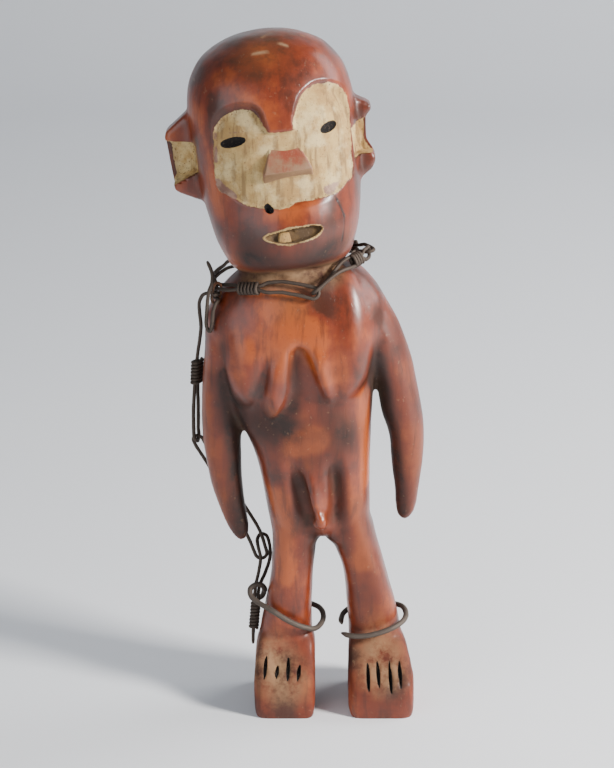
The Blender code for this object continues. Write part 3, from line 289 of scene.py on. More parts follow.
# Where an ear starts and ends from front to back, and the bottom of its hollow
EAR_FRONT = -5.0
EAR_BACK = 8.5
EAR_PANEL = 4.6
# The least length that is divided by, and how far outside an outline the rest of the figure counts
TINY = 1e-9
OUTSIDE = -30.0


def table_at(rows: Rows, place: float) -> list[float]:
    """Reads a table of sections along a smooth curve through its rows.

    Args:
        rows: the table; the first number of each row is its place.
        place: where to read it.

    Returns:
        The other numbers of the row at that place.
    """
    last = len(rows) - 1
    index = 0
    while index < last - 1 and rows[index + 1][0] < place:
        index += 1
    before, low, high, after = [rows[min(max(index + k, 0), last)] for k in (-1, 0, 1, 2)]
    span = high[0] - low[0]
    t = (place - low[0]) / span
    values = []
    for k in range(1, len(low)):
        slope = (high[k] - low[k]) / span
        start = slope if before is low else (high[k] - before[k]) / (high[0] - before[0])
        end = slope if after is high else (after[k] - low[k]) / (after[0] - low[0])
        values.append(
            (2 * t**3 - 3 * t**2 + 1) * low[k]
            + (t**3 - 2 * t**2 + t) * span * start
            + (3 * t**2 - 2 * t**3) * high[k]
            + (t**3 - t**2) * span * end
        )
    return values


def curved(points: tuple[Point, ...] | list[Vector], shares: int) -> list[Vector]:
    """Draws a smooth curve through a route's own points.

    Args:
        points: the route.
        shares: how many steps each stretch is cut into.

    Returns:
        The points of the finer route.
    """
    route = [Vector(point) for point in points]
    found = [route[0]]
    for index in range(len(route) - 1):
        low, high = route[index], route[index + 1]
        before = route[index - 1] if index else low * 2 - high
        after = route[index + 2] if index + 2 < len(route) else high * 2 - low
        for step in range(1, shares + 1):
            t = step / shares
            found.append(
                (low * 2 + (high - before) * t + (before * 2 - low * 5 + high * 4 - after) * t**2
                 + (low * 3 - before - high * 3 + after) * t**3) / 2
            )
    return found


def mesh_object(name: str, bm: bmesh.types.BMesh) -> Object:
    """Puts a bmesh into the scene as an object at the origin.

    Args:
        name: the object's name.
        bm: the mesh, which is freed.

    Returns:
        The new object.
    """
    mesh = bpy.data.meshes.new(name)
    bm.to_mesh(mesh)
    bm.free()
    obj = bpy.data.objects.new(name, mesh)
    bpy.context.scene.collection.objects.link(obj)
    return obj


def baked(obj: Object) -> None:
    """Applies all of an object's modifiers to its mesh.

    Args:
        obj: the object, which keeps its name.
    """
    graph = bpy.context.evaluated_depsgraph_get()
    graph.update()
    mesh = bpy.data.meshes.new_from_object(obj.evaluated_get(graph))
    obj.modifiers.clear()
    old = obj.data
    obj.data = mesh
    bpy.data.meshes.remove(old)


class Cut(Enum):
    """How a tool is set against the wood."""

    AWAY = "DIFFERENCE"
    JOIN = "UNION"


def boolean(target: Object, tool: Object, cut: Cut) -> None:
    """Cuts or joins one closed mesh with another and drops the tool.

    Args:
        target: the mesh that stays.
        tool: the mesh that is used up.
        cut: whether it is cut away or joined.
    """
    step = target.modifiers.new("cut", "BOOLEAN")
    step.operation = cut.value
    step.solver = "EXACT"
    step.material_mode = "TRANSFER"
    step.object = tool
    baked(target)
    bpy.data.objects.remove(tool, do_unlink=True)


def joined(name: str, pieces: list[Object]) -> Object:
    """Makes one object of several closed meshes, with their materials.

    Args:
        name: the new object's name.
        pieces: the objects, which are used up.

    Returns:
        The new object.
    """
    slots: list[Material | None] = []
    bm = bmesh.new()
    for piece in pieces:
        own = [slot.material for slot in piece.material_slots] or [None]
        for finish in own:
            if finish not in slots:
                slots.append(finish)
        known = len(bm.faces)
        bm.from_mesh(piece.data)
        bm.faces.ensure_lookup_table()
        for face in bm.faces[known:]:
            face.material_index = slots.index(own[min(face.material_index, len(own) - 1)])
        bpy.data.objects.remove(piece, do_unlink=True)
    obj = mesh_object(name, bm)
    for finish in slots:
        if finish is not None:
            obj.data.materials.append(finish)
    return obj


def dressed(obj: Object, finish: Material) -> Object:
    """Gives a whole object one finish.

    Args:
        obj: the object.
        finish: its material.

    Returns:
        The same object.
    """
    obj.data.materials.clear()
    obj.data.materials.append(finish)
    return obj


@dataclass
class Mould:
    """Makes the plain closed shapes that the carving is fused and cut from."""

    ring_points: int = 84
    row_step: float = 1.5

    def ring(self, bm: bmesh.types.BMesh, place: float, limits: list[float], square: float) -> list:
        """Adds one closed ring that fills its four limits.

        Args:
            bm: the mesh it is added to.
            place: its height in units.
            limits: left, right, front and back.
            square: how boxy the ring is; 2 is an ellipse.

        Returns:
            The ring's edges.
        """
        left, right, front, back = limits
        circle = bmesh.ops.create_circle(bm, cap_ends=False, radius=1.0, segments=self.ring_points)
        power = 2.0 / square
        middle = Vector(((left + right) / 2, (front + back) / 2))
        half = Vector(((right - left) / 2, (back - front) / 2))
        for vert in circle["verts"]:
            x, y = vert.co.x, vert.co.y
            across = math.copysign(abs(x) ** power, x)
            along = math.copysign(abs(y) ** power, y)
            vert.co = Vector((middle.x + half.x * across, middle.y + half.y * along, place))
        return list({edge for vert in circle["verts"] for edge in vert.link_edges})

    def loft(self, name: str, rows: Rows, square: float, place: Matrix) -> Object:
        """Makes a closed solid through a table's sections.

        Args:
            name: the object's name.
            rows: the sections, in units.
            square: how boxy its rings are.
            place: the frame it is set in.

        Returns:
            The solid.
        """
        bm = bmesh.new()
        first, last = rows[0][0], rows[-1][0]
        count = max(2, math.ceil((last - first) / self.row_step))
        places = sorted({row[0] for row in rows} | {first + (last - first) * k / count for k in range(count)})
        rings = [self.ring(bm, at, table_at(rows, at), square) for at in places]
        for below, above in zip(rings, rings[1:]):
            bmesh.ops.bridge_loops(bm, edges=below + above)
        for ring in (rings[0], rings[-1]):
            bmesh.ops.contextual_create(bm, geom=ring)
        bmesh.ops.transform(bm, matrix=place, verts=bm.verts)
        bmesh.ops.recalc_face_normals(bm, faces=bm.faces)
        return mesh_object(name, bm)

    def drop(self, name: str, top: Point, tip: Point, width: float, depth: float, place: Matrix) -> Object:
        """Makes a long rounded mass from one point to another.

        Args:
            name: the object's name.
            top: its first end.
            tip: its other end.
            width: half its width.
            depth: half its depth.
            place: the frame it is set in.

        Returns:
            The mass.
        """
        bm = bmesh.new()
        bmesh.ops.create_uvsphere(bm, u_segments=40, v_segments=28, radius=1.0)
        start, end = Vector(top), Vector(tip)
        turn = (start - end).to_track_quat("Z", "Y")
        half = (start - end).length / 2
        shape = Matrix.LocRotScale((start + end) / 2, turn, Vector((width, depth, half)))
        bmesh.ops.transform(bm, matrix=place @ shape, verts=bm.verts)
        return mesh_object(name, bm)

    def prism(self, name: str, outline: Rows, near: float, far: float, place: Matrix) -> Object:
        """Draws a flat outline of across and height out along the frame's Y.

        Args:
            name: the object's name.
            outline: the outline's points.
            near: where it starts.
            far: where it ends.
            place: the frame it is set in.

        Returns:
            The solid.
        """
        bm = bmesh.new()
        verts = [bm.verts.new((across, near, height)) for across, height in outline]
        drawn = bmesh.ops.extrude_face_region(bm, geom=[bm.faces.new(verts)], use_keep_orig=True)
        moved = [item for item in drawn["geom"] if isinstance(item, bmesh.types.BMVert)]
        bmesh.ops.translate(bm, vec=(0.0, far - near, 0.0), verts=moved)
        bmesh.ops.transform(bm, matrix=place, verts=bm.verts)
        bmesh.ops.recalc_face_normals(bm, faces=bm.faces)
        return mesh_object(name, bm)


def rounded_outline(outline: Rows, shares: int) -> Rows:
    """Turns a closed outline of a few points into a smooth one.

    Args:
        outline: the outline's points of across and height.
        shares: how many steps each side is cut into.

    Returns:
        The smooth outline.
    """
    around = [Vector((a, b, 0.0)) for a, b in outline]
    wrapped = [around[-1]] + around + [around[0], around[1]]
    smooth = curved(wrapped, shares)[shares:-shares]
    return tuple((point.x, point.y) for point in smooth[:-1])


def smooth_noise(points: np.ndarray, scale: float, seed: int) -> np.ndarray:
    """Gives soft random values in space, the same at each run.

    Args:
        points: places, one row each, in metres.
        scale: the size of one patch, in metres.
        seed: which pattern.

    Returns:
        One value from -1 to 1 for each place.
    """
    cell = points / scale + seed * 17.31
    low = np.floor(cell).astype(np.int64)
    part = cell - low
    part = part * part * (3 - 2 * part)
    total = np.zeros(len(points))
    for corner in range(8):
        step = np.array([corner & 1, (corner >> 1) & 1, (corner >> 2) & 1])
        at = low + step
        mixed = (at[:, 0] * 73856093) ^ (at[:, 1] * 19349663) ^ (at[:, 2] * 83492791) ^ (seed * 2654435761)
        mixed = (mixed ^ (mixed >> 13)) * 1274126177
        value = ((mixed ^ (mixed >> 16)) & 0xFFFF) / 32767.5 - 1.0
        weight = np.prod(np.where(step == 1, part, 1 - part), axis=1)
        total += value * weight
    return total


def distance_to(places: np.ndarray, line: Rows) -> np.ndarray:
    """Measures the distance from places to a line of straight stretches.

    Args:
        places: one row each, flat or in space.
        line: the line's points.

    Returns:
        The distances.
    """
    nearest = np.full(len(places), np.inf)
    for start, end in zip(np.array(line), np.array(line[1:])):
        along = end - start
        share = np.clip(((places - start) @ along) / max(TINY, along @ along), 0.0, 1.0)
        nearest = np.minimum(nearest, np.linalg.norm(places - (start + share[:, None] * along), axis=1))
    return nearest


def near_segment(points: np.ndarray, start: Point, end: Point, reach: float) -> np.ndarray:
    """Masks the places near a straight stretch.

    Args:
        points: places in units.
        start: one end of the stretch.
        end: its other end.
        reach: the distance at which the mask has faded out.

    Returns:
        A soft mask from 0 to 1.
    """
    return softened(1.0 - distance_to(points, (start, end)) / reach, 0.0, 1.0)


def softened(values: np.ndarray, low: float, high: float) -> np.ndarray:
    """Turns low..high into a smooth rise from 0 to 1."""
    share = np.clip((values - low) / (high - low), 0.0, 1.0)
    return share * share * (3 - 2 * share)


def inside_by(places: np.ndarray, outline: Rows) -> np.ndarray:
    """Measures how far places lie inside a flat outline.

    Args:
        places: across and height, one row each.
        outline: the closed outline.

    Returns:
        The distance to the outline, below 0 outside it.
    """
    corners = np.array(outline)
    within = np.zeros(len(places), dtype=bool)
    for start, end in zip(corners, np.roll(corners, -1, axis=0)):
        along = end - start
        crosses = (start[1] > places[:, 1]) != (end[1] > places[:, 1])
        rise = along[1] if abs(along[1]) > TINY else TINY
        at = start[0] + (places[:, 1] - start[1]) * along[0] / rise
        within ^= crosses & (places[:, 0] < at)
    nearest = distance_to(places, (*outline, outline[0]))
    return np.where(within, nearest, -nearest)


def front_of(rows: Rows, places: np.ndarray, square: float) -> tuple[np.ndarray, np.ndarray]:
    """Finds the front surface of a loft at places given by across and height.

    Args:
        rows: the loft's sections.
        places: across and height, one row each.
        square: how boxy the sections are.

    Returns:
        The front surface's Y at each place, and how far out across the loft each lies, 1 at its side.
    """
    heights = np.linspace(rows[0][0], rows[-1][0], 120)
    table = np.array([table_at(rows, height) for height in heights])
    left, right, front, back = [np.interp(places[:, 1], heights, table[:, k]) for k in range(4)]
    out = np.abs((places[:, 0] - (left + right) / 2) / ((right - left) / 2))
    share = np.clip(out, 0.0, 0.995)
    return (front + back) / 2 - (back - front) / 2 * (1 - share**square) ** (1 / square), out


class Surface:
    """A mesh's vertices and normals as numpy arrays, to be moved by sculpting."""

    def __init__(self, obj: Object) -> None:
        """Reads the mesh.

        Args:
            obj: the object.
        """
        self.mesh = obj.data
        self.places = self.read("vertices", "co")
        self.normals = self.read("vertex_normals", "vector")

    def read(self, domain: str, field: str) -> np.ndarray:
        """Reads one vector field of the mesh.

        Args:
            domain: which part of the mesh holds it.
            field: its name.

        Returns:
            One row for each vertex.
        """
        values = np.empty(len(self.mesh.vertices) * 3)
        getattr(self.mesh, domain).foreach_get(field, values)
        return values.reshape(-1, 3)

    def within(self, frame_matrix: Matrix) -> np.ndarray:
        """Gives the places in a frame's own units."""
        back = np.array(frame_matrix.inverted())
        return self.places @ back[:3, :3].T + back[:3, 3]

    def push(self, depth: np.ndarray) -> None:
        """Moves each vertex inwards by a depth in units."""
        self.places -= self.normals * (depth * UNIT)[:, None]

    def write(self) -> None:
        """Puts the moved places back into the mesh."""
        self.mesh.vertices.foreach_set("co", self.places.reshape(-1))
        self.mesh.update()


class Nodes:
    """A small hand for laying out a material's or a group's nodes."""

    def __init__(self, tree: NodeTree) -> None:
        """Keeps the tree and clears it.

        Args:
            tree: the node tree to fill.
        """
        self.tree = tree
        tree.nodes.clear()

    def add(self, kind: str, **values: object) -> Node:
        """Adds one node and sets its properties.

        Args:
            kind: the node's type.
            values: properties by name.

        Returns:
            The node.
        """
        node = self.tree.nodes.new(kind)
        for name, value in values.items():
            setattr(node, name, value)
        return node

    def link(self, output: NodeSocket, target: NodeSocket) -> None:
        """Joins two sockets."""
        self.tree.links.new(output, target)

    def feed(self, value: object, slot: NodeSocket) -> None:
        """Links a socket to an input, or sets the input's own value.

        Args:
            value: a socket, a number, a colour or None.
            slot: the input.
        """
        if isinstance(value, NodeSocket):
            self.link(value, slot)
        elif value is not None:
            slot.default_value = (*value, 1.0) if isinstance(value, tuple) else value

    def math(self, operation: str, first: object, second: object = None, clamp: bool = False) -> NodeSocket:
        """Adds a Math node.

        Args:
            operation: what it does.
            first: a socket or a number.
            second: a socket or a number.
            clamp: keeps the result from 0 to 1.

        Returns:
            Its output.
        """
        node = self.add("ShaderNodeMath", operation=operation, use_clamp=clamp)
        for slot, value in zip(node.inputs, (first, second)):
            self.feed(value, slot)
        return node.outputs[0]

    def times(self, first: object, second: object, clamp: bool = False) -> NodeSocket:
        """Multiplies two values."""
        return self.math("MULTIPLY", first, second, clamp)

    def plus(self, first: object, second: object, clamp: bool = False) -> NodeSocket:
        """Adds two values."""
        return self.math("ADD", first, second, clamp)

    def minus(self, first: object, second: object, clamp: bool = False) -> NodeSocket:
        """Takes the second value from the first."""
        return self.math("SUBTRACT", first, second, clamp)

    def ramp(self, source: NodeSocket, low: float, high: float) -> NodeSocket:
        """Stretches a value from low..high to 0..1, softly.

        Args:
            source: the value.
            low: what becomes 0.
            high: what becomes 1.

        Returns:
            The stretched value.
        """
        node = self.add("ShaderNodeMapRange", interpolation_type="SMOOTHSTEP")
        self.link(source, node.inputs["Value"])
        node.inputs["From Min"].default_value = low
        node.inputs["From Max"].default_value = high
        return node.outputs["Result"]

    def blend(self, share: object, low: object, high: object, kind: str = "MIX") -> NodeSocket:
        """Mixes two colours.

        Args:
            share: how much of the second.
            low: the first colour.
            high: the second colour.
            kind: the way they mix.

        Returns:
            The mixed colour.
        """
        node = self.add("ShaderNodeMix", data_type="RGBA", blend_type=kind)
        for index, value in ((0, share), (6, low), (7, high)):
            self.feed(value, node.inputs[index])
        return node.outputs[2]

    def mask(self, name: str) -> NodeSocket:
        """Reads one of the piece's painted masks."""
        return self.add("ShaderNodeAttribute", attribute_name=name).outputs["Fac"]

    def noise(self, vector: NodeSocket, scale: float, detail: float, rough: float = 0.55) -> NodeSocket:
        """Adds a noise.

        Args:
            vector: where it is read.
            scale: how fine it is.
            detail: how many layers it has.
            rough: how strong its fine layers are.

        Returns:
            Its value.
        """
        node = self.add("ShaderNodeTexNoise")
        self.link(vector, node.inputs["Vector"])
        node.inputs["Scale"].default_value = scale
        node.inputs["Detail"].default_value = detail
        node.inputs["Roughness"].default_value = rough
        return node.outputs["Fac"]

    def use(self, group: NodeTree, vector: NodeSocket, **values: float) -> Node:
        """Places a shared group with its own values.

        Args:
            group: the group.
            vector: where it is read.
            values: its other inputs by name.

        Returns:
            The group node.
        """
        node = self.add("ShaderNodeGroup", node_tree=group)
        self.link(vector, node.inputs["Vector"])
        for name, value in values.items():
            node.inputs[name.replace("_", " ")].default_value = value
        return node


def new_group(name: str, inputs: tuple[tuple[str, float], ...], outputs: tuple[str, ...]) -> tuple[Nodes, Node, Node]:
    """Starts a shared shader group with a Vector input.

    Args:
        name: the group's name.
        inputs: its other inputs with their defaults.
        outputs: its outputs.

    Returns:
        The hand for its nodes, its input node and its output node.
    """
    tree = bpy.data.node_groups.new(name, "ShaderNodeTree")
    tree.interface.new_socket("Vector", in_out="INPUT", socket_type="NodeSocketVector")
    for label, value in inputs:
        socket = tree.interface.new_socket(label, in_out="INPUT", socket_type="NodeSocketFloat")
        socket.default_value = value
    for label in outputs:
        tree.interface.new_socket(label, in_out="OUTPUT", socket_type="NodeSocketFloat")
    hand = Nodes(tree)
    return hand, hand.add("NodeGroupInput"), hand.add("NodeGroupOutput")


def grain_group() -> NodeTree:
    """Builds the wood grain: long streaks, pores and broad bands.

    Returns:
        The group.
    """
    hand, start, end = new_group("wood_grain", (("Streak", 1.0), ("Pore", 1.0)), ("Bands", "Streaks", "Height"))
    stretch = hand.add("ShaderNodeMapping")
    stretch.inputs["Scale"].default_value = (1.0, 1.0, 0.11)
    stretch.inputs["Rotation"].default_value = (0.0, LEAN, 0.0)
    hand.link(start.outputs["Vector"], stretch.inputs["Vector"])
    warp = hand.noise(start.outputs["Vector"], 26.0, 2.0)
    shifted = hand.add("ShaderNodeVectorMath", operation="MULTIPLY_ADD")
    spread = hand.add("ShaderNodeCombineXYZ")
    hand.link(warp, spread.inputs[0])
    hand.link(warp, spread.inputs[1])
    hand.link(spread.outputs[0], shifted.inputs[0])
    shifted.inputs[1].default_value = (0.006, 0.006, 0.0)
    hand.link(stretch.outputs["Vector"], shifted.inputs[2])
    bands = hand.noise(shifted.outputs[0], 55.0, 3.0, 0.5)
    streaks = hand.noise(shifted.outputs[0], 260.0, 4.0, 0.6)
    pores = hand.noise(shifted.outputs[0], 900.0, 2.0, 0.5)
    hand.link(bands, end.inputs["Bands"])
    hand.link(streaks, end.inputs["Streaks"])
    dips = hand.times(hand.ramp(pores, 0.62, 0.80), start.outputs["Pore"])
    ridge = hand.times(streaks, start.outputs["Streak"])
    hand.link(hand.minus(ridge, dips), end.inputs["Height"])
    return hand.tree


def wear_group() -> NodeTree:
    """Builds wear: patches, fine scratches and small specks.

    Returns:
        The group.
    """
    hand, start, end = new_group("wear", (("Size", 1.0),), ("Patches", "Scratches", "Specks"))
    scaled = hand.add("ShaderNodeVectorMath", operation="SCALE")
    hand.link(start.outputs["Vector"], scaled.inputs[0])
    hand.link(start.outputs["Size"], scaled.inputs["Scale"])
    hand.link(hand.noise(scaled.outputs[0], 45.0, 5.0, 0.62), end.inputs["Patches"])
    turned = hand.add("ShaderNodeMapping")
    turned.inputs["Rotation"].default_value = (0.4, 0.9, 0.5)
    turned.inputs["Scale"].default_value = (1.0, 0.05, 1.0)
    hand.link(scaled.outputs[0], turned.inputs["Vector"])
    lines = hand.noise(turned.outputs["Vector"], 420.0, 2.0, 0.5)
    hand.link(hand.ramp(lines, 0.66, 0.74), end.inputs["Scratches"])
    specks = hand.noise(scaled.outputs[0], 620.0, 3.0, 0.6)
    hand.link(hand.ramp(specks, 0.58, 0.72), end.inputs["Specks"])
    return hand.tree


def dust_group() -> NodeTree:
    """Builds settled dust and dirt: cloudy films with a fine tooth.

    Returns:
        The group.
    """
    hand, start, end = new_group("dust", (("Size", 1.0),), ("Film", "Tooth"))
    scaled = hand.add("ShaderNodeVectorMath", operation="SCALE")
    hand.link(start.outputs["Vector"], scaled.inputs[0])
    hand.link(start.outputs["Size"], scaled.inputs["Scale"])
    hand.link(hand.noise(scaled.outputs[0], 90.0, 6.0, 0.7), end.inputs["Film"])
    hand.link(hand.noise(scaled.outputs[0], 1400.0, 3.0, 0.7), end.inputs["Tooth"])
    return hand.tree


def clay_group(grain: NodeTree, wear: NodeTree, dust: NodeTree) -> NodeTree:
    """Builds the white clay: a chalky rubbed coat that is worn, and flecked more where its Edge input is high: towards
    its edges on the wood, and in the kaolin's hollows as painted shade.

    Args:
        grain: the wood grain group.
        wear: the wear group.
        dust: the dust group.

    Returns:
        The group.
    """
    hand, start, end = new_group("white_clay", (("Edge", 0.0), ("Bare", 0.0)), ("Height", "Worn"))
    hand.tree.interface.new_socket("Colour", in_out="OUTPUT", socket_type="NodeSocketColor")
    place, edge = start.outputs["Vector"], start.outputs["Edge"]
    film_and_shade = hand.use(dust, place, Size=1.0)
    spots = hand.use(wear, place, Size=1.7)
    lines = hand.use(grain, place, Streak=1.0, Pore=1.0)
    colour = hand.blend(hand.ramp(film_and_shade.outputs["Film"], 0.36, 0.64), (0.34, 0.200, 0.072), (0.47, 0.315, 0.125))
    streaks = hand.times(hand.ramp(lines.outputs["Streaks"], 0.47, 0.62), 0.75)
    colour = hand.blend(streaks, colour, (0.20, 0.115, 0.048))
    pale = hand.times(hand.ramp(spots.outputs["Patches"], 0.46, 0.66), 0.60)
    colour = hand.blend(pale, colour, (0.66, 0.515, 0.27))
    speck = hand.plus(hand.times(edge, 0.80), 0.50, clamp=True)
    speck = hand.times(hand.ramp(spots.outputs["Specks"], 0.10, 0.70), speck)
    colour = hand.blend(speck, colour, (0.085, 0.038, 0.022))
    drift = hand.times(hand.minus(film_and_shade.outputs["Film"], 0.5), 1.5)
    worn = hand.ramp(hand.plus(start.outputs["Bare"], drift), 0.42, 0.60)
    mauve = hand.blend(hand.ramp(spots.outputs["Patches"], 0.42, 0.62), (0.15, 0.062, 0.050), (0.28, 0.165, 0.130))
    colour = hand.blend(hand.times(worn, 0.85), colour, mauve)
    hand.link(colour, end.inputs["Colour"])
    hand.link(worn, end.inputs["Worn"])
    tooth = hand.times(film_and_shade.outputs["Tooth"], 0.9)
    height = hand.plus(tooth, hand.times(film_and_shade.outputs["Film"], 2.6))
    height = hand.plus(height, hand.times(lines.outputs["Streaks"], 0.8))
    hand.link(hand.minus(height, hand.times(speck, 1.2)), end.inputs["Height"])
    return hand.tree


# The near-black of the painted shade deepest in cuts and hollows
PAINTED_DEEP_SHADE: Point = (0.016, 0.010, 0.008)


@dataclass(frozen=True)
class Shared:
    """The shader groups that the finishes share."""

    grain: NodeTree
    wear: NodeTree
    dust: NodeTree
    clay: NodeTree


def new_material(name: str, colour: Point) -> tuple[Nodes, Node, NodeSocket]:
    """Starts a material with its shader and its object coordinates.

    Args:
        name: the material's name.
        colour: its plain colour, for the viewport.

    Returns:
        The hand for its nodes, the shader and the coordinates.
    """
    finish = bpy.data.materials.new(name)
    finish.use_nodes = True
    finish.diffuse_color = (*colour, 1.0)
    hand = Nodes(finish.node_tree)
    shader = hand.add("ShaderNodeBsdfPrincipled")
    output = hand.add("ShaderNodeOutputMaterial")
    hand.link(shader.outputs[0], output.inputs[0])
    place = hand.add("ShaderNodeTexCoord")
    return hand, shader, place.outputs["Object"]


def raise_surface(hand: Nodes, shader: Node, height: NodeSocket, strength: float, depth: float) -> None:
    """Feeds a height to the shader's normal through a Bump node.

    Args:
        hand: the material's hand.
        shader: its shader.
        height: the height.
        strength: how strongly it shows.
        depth: the real depth of a height of 1, in metres.
    """
    bump = hand.add("ShaderNodeBump")
    bump.inputs["Strength"].default_value = strength
    bump.inputs["Distance"].default_value = depth
    hand.link(height, bump.inputs["Height"])
    hand.link(bump.outputs["Normal"], shader.inputs["Normal"])


@dataclass(frozen=True)
class WoodFinish:
    """Old oiled and handled wood, dark where smoke and hands left their film and where shade is painted into its
    hollows, with clay in the face.
    """

    name: str = "polished_wood"
    orange: Point = (0.35, 0.066, 0.008)
    red: Point = (0.170, 0.023, 0.004)
    brown: Point = (0.058, 0.012, 0.004)
    black: Point = (0.016, 0.0055, 0.003)
    dusty: Point = (0.33, 0.195, 0.100)
    olive: Point = (0.13, 0.068, 0.025)
    coat: float = 0.45
    coat_rough: float = 0.27
    shine: float = 0.38
    relief: float = 0.55
    relief_depth: float = 0.00024

    def colour(self, hand: Nodes, grain: Node, wear: Node, dust: Node) -> NodeSocket:
        """Mixes the wood's own colour.

        Args:
            hand: the material's hand.
            grain: the grain group's node.
            wear: the wear group's node.
            dust: the dust group's node.

        Returns:
            The colour.
        """
        tone = hand.times(hand.minus(wear.outputs["Patches"], 0.5), 1.25)
        tone = hand.plus(tone, hand.times(grain.outputs["Bands"], 0.55))
        # The warm mask is lower in recesses, which is painted shade
        tone = hand.plus(tone, hand.times(hand.minus(hand.mask("warm"), 0.35), 0.75))
        colour = hand.blend(hand.ramp(tone, 0.06, 0.34), self.brown, self.red)
        colour = hand.blend(hand.ramp(tone, 0.28, 0.66), colour, self.orange)
        streak = hand.times(hand.ramp(grain.outputs["Streaks"], 0.48, 0.68), 0.50)
        colour = hand.blend(streak, colour, self.brown)
        colour = hand.blend(hand.times(hand.mask("olive"), 0.6), colour, self.olive)
        cloud = hand.plus(hand.times(hand.ramp(dust.outputs["Film"], 0.30, 0.66), 0.30), 0.66)
        # The film mask blackens the wood: partly real smoke and hand film, partly painted shade in recesses, creases,
        # between parts and under the chin
        film_and_shade = hand.times(hand.mask("film_and_shade"), cloud)
        colour = hand.blend(hand.times(film_and_shade, 1.08, clamp=True), colour, self.black)
        fleck = hand.times(wear.outputs["Specks"], 0.22)
        return hand.blend(fleck, colour, self.brown)

    def material(self, shared: Shared) -> Material:
        """Builds the finish.

        Args:
            shared: the shader groups.

        Returns:
            The material.
        """
        hand, shader, place = new_material(self.name, self.red)
        grain = hand.use(shared.grain, place, Streak=1.0, Pore=0.8)
        wear = hand.use(shared.wear, place, Size=1.0)
        dust = hand.use(shared.dust, place, Size=1.0)
        colour = self.colour(hand, grain, wear, dust)
        dusty = hand.times(hand.mask("dusty"), hand.ramp(dust.outputs["Film"], 0.30, 0.62))
        colour = hand.blend(hand.times(dusty, 0.9), colour, self.dusty)
        colour = hand.blend(hand.times(wear.outputs["Scratches"], 0.14), colour, self.dusty)
        # Near-black painted shade where the wood is most shut in, and the real dark crack
        colour = hand.blend(hand.mask("cut"), colour, self.black)
        clay = hand.use(shared.clay, place)
        reach = hand.mask("clay")
        ragged = hand.times(hand.minus(dust.outputs["Film"], 0.5), 5.0)
        hand.link(hand.minus(1.0, hand.ramp(reach, 0.2, 3.4)), clay.inputs["Edge"])
        hand.link(hand.mask("bare"), clay.inputs["Bare"])
        coated = hand.ramp(hand.plus(reach, ragged), -0.20, 0.28)
        colour = hand.blend(coated, colour, clay.outputs["Colour"])
        hand.link(colour, shader.inputs["Base Color"])
        gloss = hand.plus(hand.times(wear.outputs["Patches"], 0.30), 0.22)
        gloss = hand.plus(gloss, hand.times(dusty, 0.35))
        gloss = hand.plus(gloss, hand.times(hand.mask("film_and_shade"), 0.25))
        gloss = hand.plus(gloss, hand.times(hand.mask("dull"), 0.34), clamp=True)
        chalky = hand.minus(0.90, hand.times(clay.outputs["Worn"], 0.3))
        gloss = hand.plus(hand.times(gloss, hand.minus(1.0, coated)), hand.times(chalky, coated))
        hand.link(gloss, shader.inputs["Roughness"])
        smoke_and_shade = hand.times(hand.mask("film_and_shade"), 0.85)
        matt = hand.math("MAXIMUM", hand.math("MAXIMUM", hand.mask("dull"), smoke_and_shade), coated)
        hand.link(hand.minus(self.coat, hand.times(matt, self.coat), clamp=True), shader.inputs["Coat Weight"])
        shader.inputs["Coat Roughness"].default_value = self.coat_rough
        shader.inputs["Specular IOR Level"].default_value = self.shine
        height = hand.times(grain.outputs["Height"], 0.55)
        height = hand.plus(height, hand.times(wear.outputs["Patches"], 2.0))
        height = hand.minus(height, hand.times(wear.outputs["Scratches"], 0.4))
        rough = hand.times(hand.plus(clay.outputs["Height"], 1.2), coated)
        height = hand.plus(hand.times(height, hand.minus(1.0, coated)), rough)
        raise_surface(hand, shader, height, self.relief, self.relief_depth)
        return bpy.data.materials[self.name]


@dataclass(frozen=True)
class KaolinFinish:
    """Chalky white clay rubbed into the cut hollows of the ears and the mouth."""

    name: str = "kaolin"
    shine: float = 0.25
    relief: float = 0.7
    relief_depth: float = 0.00026

    def material(self, shared: Shared) -> Material:
        """Builds the finish.

        Args:
            shared: the shader groups.

        Returns:
            The material.
        """
        hand, shader, place = new_material(self.name, (0.6, 0.48, 0.29))
        clay = hand.use(shared.clay, place)
        # Denser dark flecks where the kaolin is shut in, by the hollow shade: painted shade
        hand.link(hand.mask("edge"), clay.inputs["Edge"])
        # Near-black painted shade where the kaolin is most shut in
        colour = hand.blend(hand.mask("cut"), clay.outputs["Colour"], PAINTED_DEEP_SHADE)
        hand.link(colour, shader.inputs["Base Color"])
        hand.link(hand.minus(0.92, hand.times(clay.outputs["Worn"], 0.3)), shader.inputs["Roughness"])
        shader.inputs["Specular IOR Level"].default_value = self.shine
        raise_surface(hand, shader, clay.outputs["Height"], self.relief, self.relief_depth)
        return bpy.data.materials[self.name]


